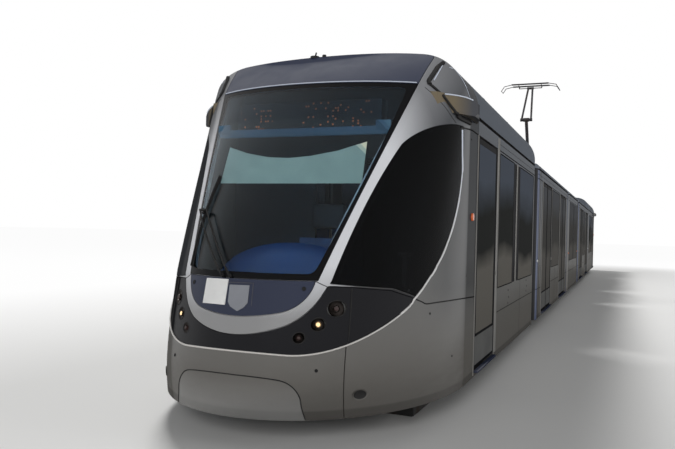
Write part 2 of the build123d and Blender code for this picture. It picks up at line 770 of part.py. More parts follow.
def tow_bracket():
    """Bracket for a drawbar under the front floor, with its upright pin hole."""
    low, high = COUPLER["z"]
    with BuildPart() as bracket:
        block((-COUPLER["half"], COUPLER["half"]), tuple(from_nose(v) for v in COUPLER["y"]), (low, high))
        with Locations((0, from_nose(COUPLER["pin"]), (low + high) / 2)):
            Cylinder(COUPLER_PIN_RADIUS, high - low, mode=Mode.SUBTRACT)
    return bracket.part


# ---------------------------------------------------------------- running gear
def wheelset(y):
    """Axle, two wheels with flanges and the journals at the ends."""
    back = WHEEL_BACK_TO_BACK / 2
    front = back + TYRE_WIDTH
    end = BEAM_CENTRE + BEAM_WIDTH / 2 - 10
    flange = WHEEL_RADIUS + FLANGE_DEPTH
    # x along the axle, radius
    half_profile = [(0, AXLE_RADIUS), (back, AXLE_RADIUS), (back, flange - 8), (back + 10, flange),
                    (back + FLANGE_WIDTH - 8, flange), (back + FLANGE_WIDTH + 6, WHEEL_RADIUS + 2),
                    (front, WHEEL_RADIUS - 4), (front, WHEEL_RADIUS - 45), (front - 35, WHEEL_RADIUS - 50),
                    (front - 35, AXLE_RADIUS + 35), (front + 15, AXLE_RADIUS + 30),
                    (front + 15, JOURNAL_RADIUS), (end, JOURNAL_RADIUS), (end, 0)]
    with BuildPart() as wheels:
        with BuildSketch(Plane.XZ):
            with BuildLine():
                Polyline(*[(-x, r) for x, r in reversed(half_profile)], *half_profile[1:], close=True)
            make_face()
        revolve(axis=Axis.X)
    with BuildPart() as placed:
        with Locations((0, y, AXLE_HEIGHT)):
            add(wheels.part)
    return placed.part


def bogie_frame(centre):
    """Outside frame with axle boxes, springs under the body and track brakes."""
    with BuildPart() as frame:
        for x_low, x_high in both_sides((BEAM_CENTRE - BEAM_WIDTH / 2, BEAM_CENTRE + BEAM_WIDTH / 2)):
            block((x_low, x_high), (centre - 1080, centre + 1080), (BEAM_BOTTOM, BEAM_TOP))
            block((x_low, x_high), (centre - 260, centre + 260), (BEAM_BOTTOM - 60, BEAM_BOTTOM + 10))
            for side in (1, -1):
                with BuildSketch(Plane((x_low, centre + side * WHEELBASE / 2, AXLE_HEIGHT),
                                       x_dir=(0, 1, 0), z_dir=(1, 0, 0))):
                    Circle(130)
                extrude(amount=x_high - x_low)
            with Locations(((x_low + x_high) / 2, centre, (BEAM_TOP + WHEEL_BOX_TOP - WHEEL_BOX_PLATE) / 2)):
                Cylinder(80, WHEEL_BOX_TOP - WHEEL_BOX_PLATE - BEAM_TOP)
        for side in (1, -1):
            y_span = tuple(sorted((centre + side * 250, centre + side * 350)))
            block((-BEAM_CENTRE, BEAM_CENTRE), y_span, (BEAM_BOTTOM + 10, BEAM_TOP - 20))
        for x_span in both_sides((700, 810)):
            block(x_span, (centre - 420, centre + 420), (FLANGE_DEPTH + 12, 130))
            block(x_span, (centre - 320, centre - 270), (120, BEAM_TOP - 30))
            block(x_span, (centre + 270, centre + 320), (120, BEAM_TOP - 30))
        for side in (1, -1):
            with BuildSketch(Plane((-HALF, centre + side * WHEELBASE / 2, AXLE_HEIGHT),
                                   x_dir=(0, 1, 0), z_dir=(1, 0, 0))):
                Circle(JOURNAL_RADIUS + JOURNAL_FIT)
            extrude(amount=WIDTH, mode=Mode.SUBTRACT)
    return frame.part


# ---------------------------------------------------------------- pantograph
PAN_FRAME_HALF = 450
PAN_FRAME_Z = (3380, 3440)
INSULATOR_RADIUS = 60
SHAFT_RADIUS = 30
BRACKET_X = (300, 360)


def rod(start, end, radius):
    """Round bar between two points (x, y, z), in the current part."""
    direction = Vector(*end) - Vector(*start)
    with BuildSketch(Plane(origin=start, z_dir=direction)) as end:
        Circle(radius)
    extrude(end.sketch, amount=direction.length)


def in_plane(point, x=0):
    return (x, point[0], point[1])


def pantograph_base():
    """Base frame on four insulators, with the brackets of the main shaft."""
    y_mid = PAN_PIVOT[0] - 350
    bottom = LINK_CROWN + EQUIPMENT_SEAT + EQUIPMENT_HEIGHT + PANEL_SEAT
    low, high = PAN_FRAME_Z
    with BuildPart() as base:
        block((-PAN_FRAME_HALF, PAN_FRAME_HALF), (y_mid - 550, y_mid + 550), (low, high))
        block((-PAN_FRAME_HALF + 70, PAN_FRAME_HALF - 70), (y_mid - 480, y_mid + 480), (low, high),
              Mode.SUBTRACT)
        with Locations(*[(x, y_mid + y, (bottom + low) / 2) for x in (-410, 410) for y in (-450, 450)]):
            Cylinder(INSULATOR_RADIUS, low - bottom)
        block((-PAN_FRAME_HALF + 10, PAN_FRAME_HALF - 10), (PAN_PIVOT[0] - 60, PAN_PIVOT[0] + 60), (low, high))
        for x_low, x_high in both_sides(BRACKET_X):
            block((x_low, x_high), (PAN_PIVOT[0] - 60, PAN_PIVOT[0] + 60), (high - 1, PAN_PIVOT[1] + 60))
        with BuildSketch(Plane((-PAN_FRAME_HALF, PAN_PIVOT[0], PAN_PIVOT[1]),
                               x_dir=(0, 1, 0), z_dir=(1, 0, 0))):
            Circle(SHAFT_RADIUS + PIVOT_FIT)
        extrude(amount=2 * PAN_FRAME_HALF, mode=Mode.SUBTRACT)
    return base.part


def pantograph_lower_arm():
    """Main shaft, lower arm and the fork at the knee."""
    with BuildPart() as arm:
        rod(in_plane(PAN_PIVOT, -BRACKET_X[1] - 10), in_plane(PAN_PIVOT, BRACKET_X[1] + 10), SHAFT_RADIUS)
        rod(in_plane(PAN_PIVOT, -BRACKET_X[0] + 20), in_plane(PAN_PIVOT, BRACKET_X[0] - 20), ARM_TUBE + 10)
        rod(in_plane(PAN_PIVOT), in_plane(KNEE), ARM_TUBE)
        rod(in_plane(KNEE, -80), in_plane(KNEE, 80), ARM_TUBE + 10)
        with BuildSketch(Plane((-100, KNEE[0], KNEE[1]), x_dir=(0, 1, 0), z_dir=(1, 0, 0))):
            Circle(SHAFT_RADIUS + PIVOT_FIT)
        extrude(amount=200, mode=Mode.SUBTRACT)
    return arm.part


def pantograph_upper_arm():
    """Knee shaft and the two tubes that meet at the head."""
    with BuildPart() as arm:
        rod(in_plane(KNEE, -160), in_plane(KNEE, 160), SHAFT_RADIUS)
        for side in (1, -1):
            rod(in_plane(KNEE, side * 90), in_plane(KNEE, side * 165), ARM_TUBE)
            rod(in_plane(KNEE, side * 130), in_plane(HEAD_PIVOT, side * 60), UPPER_TUBE)
        rod(in_plane(HEAD_PIVOT, -95), in_plane(HEAD_PIVOT, 95), UPPER_TUBE + 6)
        with BuildSketch(Plane((-200, HEAD_PIVOT[0], HEAD_PIVOT[1]), x_dir=(0, 1, 0), z_dir=(1, 0, 0))):
            Circle(12 + PIVOT_FIT)
        extrude(amount=400, mode=Mode.SUBTRACT)
    return arm.part


def pantograph_head():
    """Collector head: pivot rod, side links, two carbon strips and the horns."""
    y, z = HEAD_PIVOT
    strip_z = z + 90
    with BuildPart() as head:
        rod((-330, y, z), (330, y, z), 12)
        for side in (1, -1):
            rod((side * 320, y, z), (side * 320, y - 160, strip_z), 10)
            rod((side * 320, y, z), (side * 320, y + 160, strip_z), 10)
        for row in (y - 160, y + 160):
            block((-STRIP_LENGTH / 2, STRIP_LENGTH / 2), (row - 20, row + 20), (strip_z - 12, strip_z + 24))
            for side in (1, -1):
                rod((side * (STRIP_LENGTH / 2 - 10), row, strip_z + 8),
                    (side * (HEAD_WIDTH / 2 - 80), row, strip_z - 40), 10)
                rod((side * (HEAD_WIDTH / 2 - 85), row, strip_z - 36),
                    (side * HEAD_WIDTH / 2, row, strip_z - 170), 10)
        for side in (1, -1):
            rod((side * HEAD_WIDTH / 2, y - 160, strip_z - 165), (side * HEAD_WIDTH / 2, y + 160, strip_z - 165), 10)
    return head.part


# ---------------------------------------------------------------- assembly
def build_cab_ends():
    start = from_nose(SHELL_LENGTH) + WALL_END_SEAM
    y_end = -JOINT_OUTER - HALF_GAP
    windows = [(from_nose(low), from_nose(high)) for low, high in CAB_WINDOWS]
    door = [(from_nose(CAB_DOOR[0]), from_nose(CAB_DOOR[1]), 1)]
    with BuildPart() as glass:
        add(panes(windows, door))
        add(skin_piece(side_prism(cab_window_outline)))
    pieces = {
        "cab_shell": cab_shell(),
        "windscreen": skin_piece(front_prism(screen_outline, 2250)),
        "nose_panels": nose_panels(),
        "bumper": skin_piece(front_prism(bumper_outline, 800)),
        "headlamps": skin_piece(lamp_cylinders(0)),
        "side_walls": side_walls((start, y_end - END_RADIUS - WALL_END_SEAM), [(y_end, -1)],
                                 wall_openings(windows, door)),
        "roof": cab_roof(),
        "floor": cab_floor(),
        "doors": doors(door),
        "windows": glass.part,
        "bogie_frame": bogie_frame(-BOGIE_CENTRE),
        "cab_interior": cab_interior(),
        "seats": cab_seats(),
        "tow_bracket": tow_bracket(),
        "outer_wheelset": wheelset(-BOGIE_CENTRE - WHEELBASE / 2),
        "inner_wheelset": wheelset(-BOGIE_CENTRE + WHEELBASE / 2),
    }
    for name, part in pieces.items():
        save(part, f"front_{name}")
        save(turned(part), f"rear_{name}")


def build_links():
    front, rear = -JOINT_OUTER + HALF_GAP, -JOINT_INNER - HALF_GAP
    middle = (front + rear) / 2
    door_half = LINK_DOOR_WIDTH / 2
    openings = [(middle + side * LINK_DOOR_OFFSET - door_half, middle + side * LINK_DOOR_OFFSET + door_half, 2)
                for side in (-1, 1)]
    windows = [(middle - LINK_WINDOW_WIDTH / 2, middle + LINK_WINDOW_WIDTH / 2)]
    ends = [(front, 1), (rear, -1)]
    wall_span = (front + END_RADIUS + WALL_END_SEAM, rear - END_RADIUS - WALL_END_SEAM)
    cases = [(middle - 2600, middle - 250), (middle + 250, middle + 2600)]
    pieces = {
        "side_walls": side_walls(wall_span, ends, wall_openings(windows, openings)),
        "roof": plain_roof((front, rear), ends, cases),
        "floor": link_floor(),
        "doors": doors(openings),
        "windows": panes(windows, openings),
        "seats": link_seats(middle),
        "bellows": bellows((-JOINT_OUTER, -JOINT_INNER)),
    }
    for name, part in pieces.items():
        save(part, f"front_link_{name}")
        save(turned(part), f"rear_link_{name}")


def build_centre():
    end = JOINT_INNER - HALF_GAP
    ends = [(-end, 1), (end, -1)]
    straight = end - END_RADIUS - WALL_END_SEAM
    half = CENTRE_WINDOW_WIDTH / 2
    windows = [(side * CENTRE_WINDOW_OFFSET - half, side * CENTRE_WINDOW_OFFSET + half) for side in (-1, 1)]
    pieces = {
        "side_walls": side_walls((-straight, straight), ends, wall_openings(windows, [])),
        "roof": plain_roof((-end, end), ends, [(-1500, 1500)]),
        "floor": centre_floor(),
        "windows": panes(windows, []),
        "seats": centre_seats(),
        "bogie_frame": bogie_frame(0),
        "front_wheelset": wheelset(-WHEELBASE / 2),
        "rear_wheelset": wheelset(WHEELBASE / 2),
    }
    for name, part in pieces.items():
        save(part, f"centre_{name}")
    save(pantograph_base(), "pantograph_base")
    save(pantograph_lower_arm(), "pantograph_lower_arm")
    save(pantograph_upper_arm(), "pantograph_upper_arm")
    save(pantograph_head(), "pantograph_head")


os.makedirs("parts", exist_ok=True)
build_cab_ends()
build_links()
build_centre()
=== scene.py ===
"""Looks of a five-section low-floor tram: finishes, trim, bellows, cab, saloon, running gear and roof.

Metres.  +Z is up, the front cab points to -Y and +X is the left-hand side of its driver.  Pieces of
the front half are made once and copied, turned half a turn about Z, for the rear half.
"""
import math

import bpy
from mathutils import Matrix, Vector
from mathutils.bvhtree import BVHTree


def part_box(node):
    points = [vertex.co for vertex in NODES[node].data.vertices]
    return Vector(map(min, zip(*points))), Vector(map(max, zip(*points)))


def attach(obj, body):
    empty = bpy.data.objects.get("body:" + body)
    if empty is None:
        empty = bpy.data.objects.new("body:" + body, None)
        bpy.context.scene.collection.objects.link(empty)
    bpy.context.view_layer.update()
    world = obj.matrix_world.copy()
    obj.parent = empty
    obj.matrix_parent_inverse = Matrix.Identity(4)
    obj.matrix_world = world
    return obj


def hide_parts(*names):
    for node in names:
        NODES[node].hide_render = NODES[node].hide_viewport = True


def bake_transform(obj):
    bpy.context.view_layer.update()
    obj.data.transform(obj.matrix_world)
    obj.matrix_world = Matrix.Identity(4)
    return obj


bl_info = {
    "name": "Low-floor tram",
    "version": (1, 0, 0),
    "blender": (4, 5, 0),
    "location": "3D view > Sidebar > Tram",
    "description": "Dresses the fixed frame of a five-section low-floor tram",
    "category": "Object",
}

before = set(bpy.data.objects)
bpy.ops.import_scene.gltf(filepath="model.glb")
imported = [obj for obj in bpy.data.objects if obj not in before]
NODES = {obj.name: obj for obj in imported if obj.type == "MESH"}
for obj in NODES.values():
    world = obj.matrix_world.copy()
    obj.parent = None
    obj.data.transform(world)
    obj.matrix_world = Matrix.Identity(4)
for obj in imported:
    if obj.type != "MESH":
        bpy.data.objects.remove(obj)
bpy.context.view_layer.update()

# ---------------------------------------------------------------- places, from the frame
HALF_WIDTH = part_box("centre_side_walls")[1].x
NOSE_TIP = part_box("front_cab_shell")[0].y
NOSE_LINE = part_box("front_bumper")[0].y
SHELL_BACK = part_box("front_cab_shell")[1].y
WALL_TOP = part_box("front_side_walls")[1].z
CAB_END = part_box("front_side_walls")[1].y
LINK_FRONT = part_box("front_link_side_walls")[0].y
LINK_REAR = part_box("front_link_side_walls")[1].y
CENTRE_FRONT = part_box("centre_side_walls")[0].y
OUTER_JOINT = (CAB_END + LINK_FRONT) / 2
INNER_JOINT = (LINK_REAR + CENTRE_FRONT) / 2
FRONT = "front_cab_section"
LINK = "front_link_section"
CENTRE = "centre_section"
UPWARD = (0, 0, 1)
OUTWARD = (1, 0, 0)
REAR_OF = {FRONT: "rear_cab_section", LINK: "rear_link_section", CENTRE: CENTRE}


# ---------------------------------------------------------------- settings
def colour_setting(name, description, default):
    return bpy.props.FloatVectorProperty(name=name, description=description, subtype="COLOR",
                                         default=default, min=0, max=1)


def angle_setting(name, description, degrees):
    return bpy.props.FloatProperty(name=name, description=description, unit="ROTATION", subtype="ANGLE",
                                   default=math.radians(degrees))


class TramColours(bpy.types.PropertyGroup):
    body: colour_setting("Body", "Silver-grey paint of the body", (0.130, 0.130, 0.128))
    visor: colour_setting("Visor", "Blue-grey paint of the visor over the windscreen", (0.040, 0.047, 0.078))
    panel: colour_setting("Nose panel", "Dark blue-grey panel under the windscreen", (0.040, 0.047, 0.078))
    seat: colour_setting("Seats", "Moulded seat shells", (0.05, 0.10, 0.24))


class TramStage(bpy.types.PropertyGroup):
    camera_place: bpy.props.FloatVectorProperty(
        name="Camera place", description="Where the camera stands", subtype="TRANSLATION", unit="LENGTH",
        default=(2.634, -20.54, 1.597))
    camera_yaw: angle_setting("Yaw", "Camera turn towards -X from straight along +Y", 22.52)
    camera_pitch: angle_setting("Pitch", "Camera tilt upwards", 0.57)
    camera_roll: angle_setting("Roll", "Camera roll", 1.58)
    camera_lens: bpy.props.FloatProperty(
        name="Lens", description="Focal length on a 36 mm sensor, in millimetres", default=36.81, min=10)
    sky: bpy.props.FloatProperty(
        name="Sky", description="Strength of the pale sky that lights the tram", default=0.13, min=0)


# ---------------------------------------------------------------- material tools
class Nodes:
    """Short ways to add and wire shader nodes."""

    def __init__(self, name):
        self.material = bpy.data.materials.new(name)
        self.material.use_nodes = True
        self.tree = self.material.node_tree
        self.shader = self.tree.nodes["Principled BSDF"]
        self.object_co = self.add("ShaderNodeTexCoord").outputs["Object"]

    def add(self, kind, **values):
        node = self.tree.nodes.new(kind)
        for name, value in values.items():
            setattr(node, name, value)
        return node

    def wire(self, source, node, socket):
        if hasattr(source, "is_output"):
            self.tree.links.new(source, node.inputs[socket])
        else:
            node.inputs[socket].default_value = source

    def math(self, operation, a, b=0.0, c=None, clamp=False):
        node = self.add("ShaderNodeMath", operation=operation, use_clamp=clamp)
        self.wire(a, node, 0)
        self.wire(b, node, 1)
        if c is not None:
            self.wire(c, node, 2)
        return node.outputs[0]

    def plus(self, a, b):
        return self.math("ADD", a, b)

    def minus(self, a, b):
        return self.math("SUBTRACT", a, b)

    def times(self, a, b, clamp=False):
        return self.math("MULTIPLY", a, b, clamp=clamp)

    def most(self, a, b):
        return self.math("MAXIMUM", a, b)

    def least(self, a, b):
        return self.math("MINIMUM", a, b)

    def root(self, value):
        return self.math("SQRT", value)

    def near(self, value, centre, reach):
        return self.math("COMPARE", value, centre, reach)

    def size(self, value):
        return self.math("ABSOLUTE", value)

    def above(self, value, limit):
        return self.math("GREATER_THAN", value, limit)

    def below(self, value, limit):
        return self.math("LESS_THAN", value, limit)

    def between(self, value, low, high):
        return self.times(self.below(value, high), self.above(value, low))

    def axes(self):
        node = self.add("ShaderNodeSeparateXYZ")
        self.wire(self.object_co, node, 0)
        return node.outputs

    def noise(self, scale, detail=3.0, stretch=(1, 1, 1)):
        place = self.add("ShaderNodeMapping")
        place.inputs["Scale"].default_value = stretch
        self.wire(self.object_co, place, "Vector")
        node = self.add("ShaderNodeTexNoise")
        self.wire(place.outputs[0], node, "Vector")
        node.inputs["Scale"].default_value = scale
        node.inputs["Detail"].default_value = detail
        return node.outputs["Fac"]

    def ramp(self, value, low, high, out_low=0.0, out_high=1.0):
        node = self.add("ShaderNodeMapRange")
        self.wire(value, node, "Value")
        for socket, number in zip(("From Min", "From Max", "To Min", "To Max"),
                                  (low, high, out_low, out_high)):
            node.inputs[socket].default_value = number
        return node.outputs[0]

    def patches(self, scale, detail, low, high, out_low=0.0, out_high=1.0):
        return self.ramp(self.noise(scale, detail), low, high, out_low, out_high)

    def mix(self, factor, a, b):
        node = self.add("ShaderNodeMix", data_type="RGBA")
        self.wire(factor, node, 0)
        for socket, colour in ((6, a), (7, b)):
            self.wire(colour if hasattr(colour, "is_output") else (*colour[:3], 1.0), node, socket)
        return node.outputs[2]

    def steps(self, value, first, *pieces):
        """Line through points: pieces give where each one ends and how much it adds."""
        total, begin = first[1], first[0]
        for end, rise in pieces:
            total = self.plus(total, self.ramp(value, begin, end, 0.0, rise))
            begin = end
        return total

    def turned_away(self, near, far):
        """One value where the surface faces the eye, another where it is seen edge-on."""
        node = self.add("ShaderNodeLayerWeight")
        node.inputs["Blend"].default_value = 0.5
        return self.ramp(node.outputs["Facing"], 0.45, 0.78, near, far)

    def gloss(self, near, coat, coat_roughness=0.02, edge_on=0.0):
        """Reflection for a pale studio: clear from the front, held back where seen edge-on."""
        return self.set(Specular_IOR_Level=self.turned_away(near, edge_on), Coat_Weight=coat,
                        Coat_Roughness=coat_roughness)

    def set(self, **values):
        for name, value in values.items():
            socket = name.replace("_", " ")
            if socket == "Base Color" and not hasattr(value, "is_output"):
                value = (*value[:3], 1.0)
            self.wire(value, self.shader, socket)
        return self

    def bump(self, height, strength, distance):
        node = self.add("ShaderNodeBump")
        node.inputs["Strength"].default_value = strength
        node.inputs["Distance"].default_value = distance
        self.wire(height, node, "Height")
        self.wire(node.outputs[0], self.shader, "Normal")
        return self


def backdrop_rays(tree):
    """1 for rays from the eye, a mirror or a glass, 0 for light that falls on the tram."""
    path = tree.nodes.new("ShaderNodeLightPath")
    seen = path.outputs["Is Camera Ray"]
    for name in ("Is Glossy Ray", "Is Transmission Ray"):
        either = tree.nodes.new("ShaderNodeMath")
        either.operation = "MAXIMUM"
        tree.links.new(seen, either.inputs[0])
        tree.links.new(path.outputs[name], either.inputs[1])
        seen = either.outputs[0]
    return seen


def shade_between(tree, factor, first, second, output):
    """Mix two shaders into the output node."""
    mix = tree.nodes.new("ShaderNodeMixShader")
    for source, socket in zip((factor, first, second), mix.inputs):
        tree.links.new(source, socket)
    tree.links.new(mix.outputs[0], tree.nodes[output].inputs[0])


def darker(colour, share):
    return tuple(c * share for c in colour[:3])


def tinted(colour, shares):
    return tuple(c * share for c, share in zip(colour, shares))


def coach_paint(n, colour, share=None):
    """Metallic coach paint with fine flake and road film low on the side, tinted warm low down and cooler
    high up as painted reflections of the road and the sky.
    """
    _, _, height = n.axes()
    film = n.times(n.ramp(height, 0.9, 0.2), n.noise(9.0, 5.0, (1, 0.5, 2)), clamp=True)
    # painted reflections: warmer tone low down for the road, cooler tone high up for the sky
    tone = n.mix(n.ramp(height, 0.5, 1.3), tinted(colour, (1.06, 1.0, 0.92)), colour)
    tone = n.mix(n.ramp(height, 1.5, 2.7), tone, tinted(colour, (0.90, 1.0, 1.20)))
    tone = n.mix(n.patches(1400.0, 1.0, 0.35, 0.65), n.mix(0.5, tone, darker(colour, 0.7)), tone)
    tone = n.mix(n.times(film, 0.35), tone, (0.09, 0.08, 0.07))
    skirt_edge = 0.302, 0.288
    tone = n.mix(n.ramp(height, *skirt_edge, 0.0, 0.4), tone, (0.02, 0.018, 0.016))
    # share above 1 lightens the paint towards 2.4 times as bright: the bumper passes its painted highlight
    # here
    if share is not None:
        tone = n.mix(n.minus(share, 1.0), tone, darker(colour, 2.4))
    n.set(Metallic=n.turned_away(0.5, 0.0), Roughness=n.ramp(film, 0, 0.6, 0.3, 0.5))
    n.gloss(0.5, 0.10, 0.04)
    n.bump(n.noise(55.0, 2.0), 0.02, 0.002)
    return tone


def metallic_paint(name, colour):
    """Plain coach paint of one colour."""
    n = Nodes(name)
    n.set(Base_Color=coach_paint(n, colour))
    return n.material


def section_paint(name, colour):
    """Side wall paint: lighter post before the first door; at the links blue-grey corners, a black line 0.4 m
    in from each end, and black along the ends themselves as painted shade of the joint gap.
    """
    n = Nodes(name)
    _, y, _ = n.axes()
    away = n.size(y)
    tone = coach_paint(n, colour)
    post_edge = 13.889, 13.891
    tone = n.mix(n.ramp(away, *post_edge, 0.0, 0.45), tone, (0.34, 0.33, 0.31))
    front, rear = abs(LINK_FRONT), abs(LINK_REAR)
    inside = n.least(n.minus(front, away), n.minus(away, rear))
    link = n.above(inside, -0.02)
    cool = n.times(link, n.ramp(inside, 0.26, 0.20))
    tone = n.mix(n.times(cool, 0.9), tone, (0.050, 0.072, 0.15))
    line = n.times(link, n.near(inside, 0.40, 0.03))
    # painted shade: black over the last 8 cm at each end of a link stands in for the shade in the joint gap;
    # line is a black line 0.4 m in from the ends
    black = n.most(line, n.times(link, n.ramp(inside, 0.085, 0.08)))
    n.set(Base_Color=n.mix(black, tone, (0.004, 0.004, 0.005)))
    return n.material


def bumper_paint(name, colour):
    """Bumper paint with a painted highlight on the cover of the folding coupler, paler there and most at its
    foot.
    """
    n = Nodes(name)
    x, _, z = n.axes()
    top = n.steps(n.size(x), (0.0, 0.543), (0.2, -0.005), (0.386, -0.020), (0.467, -0.043),
                  (0.514, -0.072), (0.545, -0.168), (0.56, -0.2))
    # painted highlight: the coupler cover is made paler, up to half as bright again at its foot
    cover = n.times(n.below(z, top), n.ramp(z, 0.54, 0.32, 1.0, 1.55))
    share = n.most(cover, 1.0)
    n.set(Base_Color=coach_paint(n, colour, share))
    return n.material


def plastic(name, colour, roughness=0.45, grain=900.0, depth=0.0004):
    """Moulded plastic with a fine leather-like grain."""
    n = Nodes(name)
    fine = n.noise(grain, 2.0)
    n.set(Base_Color=n.mix(n.patches(6.0, 4.0, 0.3, 0.7), darker(colour, 0.88), colour))
    n.set(Roughness=n.ramp(fine, 0.3, 0.7, roughness - 0.06, roughness + 0.08))
    n.gloss(0.4, 0.0)
    return n.bump(fine, 0.25, depth).material


def rubber(name):
    n = Nodes(name)
    dust = n.patches(14.0, 6.0, 0.35, 0.75)
    n.set(Base_Color=n.mix(dust, (0.008, 0.008, 0.009), (0.022, 0.021, 0.020)), Roughness=0.62)
    n.gloss(0.25, 0.0)
    return n.bump(n.noise(500.0, 2.0), 0.2, 0.0005).material


def steel(name, colour, roughness, rust=0.0):
    """Bare or painted steel with dirt in its patches."""
    n = Nodes(name)
    patch = n.patches(7.0, 8.0, 0.42, 0.68)
    n.set(Base_Color=n.mix(n.times(patch, rust), colour, (0.10, 0.055, 0.03)),
          Metallic=0.7, Roughness=n.ramp(patch, 0, 1, roughness, min(roughness + 0.3, 1)))
    return n.bump(n.noise(120.0, 4.0), 0.15, 0.001).material


def glossy(name, colour, roughness=0.08, sheen=0.3):
    """Hard gloss surface with faint smears."""
    n = Nodes(name)
    n.set(Base_Color=n.mix(n.patches(6.0, 4.0, 0.35, 0.7), darker(colour, 0.9), colour))
    n.set(Roughness=n.patches(4.0, 5.0, 0.35, 0.7, roughness, roughness + 0.06))
    n.gloss(sheen, 0.05)
    return n.bump(n.noise(30.0, 2.0), 0.02, 0.001).material


def glowing(name, colour, strength, grain=60.0):
    """Lit lens or lamp, with the fine prisms of its moulding."""
    n = Nodes(name)
    cells = n.ramp(n.noise(grain, 1.0), 0.3, 0.7, 0.75, 1.0)
    tint = n.mix(cells, darker(colour, 0.6), colour)
    n.set(Base_Color=tint, Emission_Color=tint, Emission_Strength=strength, Roughness=0.15)
    return n.bump(n.noise(grain * 4, 1.0), 0.2, 0.0006).material


def rounded_frame(n, across, sides, low, high, radius=0.05):
    """1 inside a pane with round corners, 0 on its painted border."""
    a = n.most(n.minus(across, n.minus(sides, radius)), 0.0)
    height = n.axes()[2]
    b = n.most(n.most(n.minus(height, high - radius), n.minus(low + radius, height)), 0.0)
    corner = n.root(n.plus(n.times(a, a), n.times(b, b)))
    return n.below(corner, radius)


def windscreen_glass(name):
    """Clear glass inside a black fired border that widens at the foot and the top corners."""
    n = Nodes(name)
    x, _, z = n.axes()
    foot, head = 1.272, 2.848
    up = n.minus(z, 1.277)
    sides = n.plus(0.524, n.times(up, n.minus(0.3116, n.times(up, 0.0481))))
    clear = rounded_frame(n, n.size(x), sides, foot, head)
    tint = n.mix(n.ramp(z, 2.49, 2.58), (0.46, 0.58, 0.66), (0.24, 0.35, 0.45))
    # painted sky reflection: towards its top the glass lets slightly less light through, so the tint shows
    # there as a faint pale veil
    n.set(Base_Color=n.mix(clear, (0.005, 0.005, 0.006), tint),
          Transmission_Weight=n.times(clear, n.ramp(z, 1.9, 2.5, 1.0, 0.985)),
          IOR=1.2, Roughness=0.0, Specular_IOR_Level=0.3)
    return n.material


def saloon_glass(name, colour):
    """Dark tinted side glass, deep and clear by the driver; along the saloon painted reflections make it pale
    brown low down, cool at its top and lighter along the links.
    """
    n = Nodes(name)
    _, y, z = n.axes()
    away = n.size(y)
    cab_window, link_end = 14.2, (9.0, 9.1)
    cab = n.above(away, cab_window)
    # painted reflections: pale brown glass low down for the road, cool blue-grey at the top for the sky, dark
    # between; the noisy height makes the bands wavy
    wave = n.plus(z, n.ramp(n.noise(1.1, 3.0, (1, 0.5, 1)), 0.0, 1.0, -0.3, 0.3))
    tint = n.mix(n.ramp(wave, 1.25, 1.45), (0.125, 0.118, 0.106), (0.018, 0.019, 0.018))
    tint = n.mix(n.ramp(wave, 1.85, 2.25), tint, (0.070, 0.082, 0.105))
    # painted light: lighter glass along the link and centre sections
    tint = n.mix(n.ramp(away, *link_end, 0.6, 0.0), tint, (0.075, 0.072, 0.068))
    edge = n.steps(z, (1.264, 15.027), (1.476, -0.204), (1.737, -0.179), (2.067, -0.140), (2.337, -0.008),
                   (2.524, -0.003))
    beyond = n.times(cab, n.below(away, edge))
    clear = n.mix(cab, tint, (0.030, 0.032, 0.036))
    n.set(Base_Color=n.mix(beyond, clear, darker(colour, 0.5)), IOR=1.12, Roughness=0.0)
    through = n.times(n.ramp(cab, 0, 1, 0.55, 0.94), n.minus(1.0, beyond))
    n.set(Transmission_Weight=n.times(through, n.turned_away(1.0, 0.0)))
    return n.gloss(0.15, 0.02, 0.0).material


def shell_paint(name, colour):
    """Body paint of the cab shell: front posts painted pale silver, partly their silver frame and partly a
    painted sky highlight; flanks darkened with painted shade; black under the side window as painted shade of
    the gap there.
    """
    n = Nodes(name)
    _, y, z = n.axes()
    behind = n.minus(n.size(NOSE_LINE), n.size(y))
    foot = n.steps(behind, (0.300, 1.196), (0.503, -0.010), (0.771, -0.024), (0.981, -0.072))
    flank_joint = 1.07
    low = n.between(z, flank_joint, foot)
    # painted shade: black under the side window stands in for the shade of the gap there
    black = n.times(low, n.between(behind, 0.365, 0.985))
    lean = n.times(n.minus(z, 1.25), 0.656)
    post = n.minus(behind, n.plus(0.25, lean))
    # silver front posts: partly their silver frame, partly a painted sky highlight that makes them much paler
    # than the body
    silver = n.times(n.ramp(post, 0.12, 0.42, 1.0, 0.0), n.ramp(z, 0.95, 1.34, 0.25, 1.0))
    # painted shade: the flanks behind the nose are darkened
    flank_shade = n.times(n.ramp(behind, 1.0, 1.4), n.ramp(z, 0.75, 1.15))
    tone = n.mix(silver, coach_paint(n, colour), (0.62, 0.63, 0.66))
    tone = n.mix(n.times(flank_shade, 0.7), tone, (0.018, 0.019, 0.022))
    n.set(Base_Color=n.mix(black, tone, (0.006, 0.006, 0.008)))
    return n.material


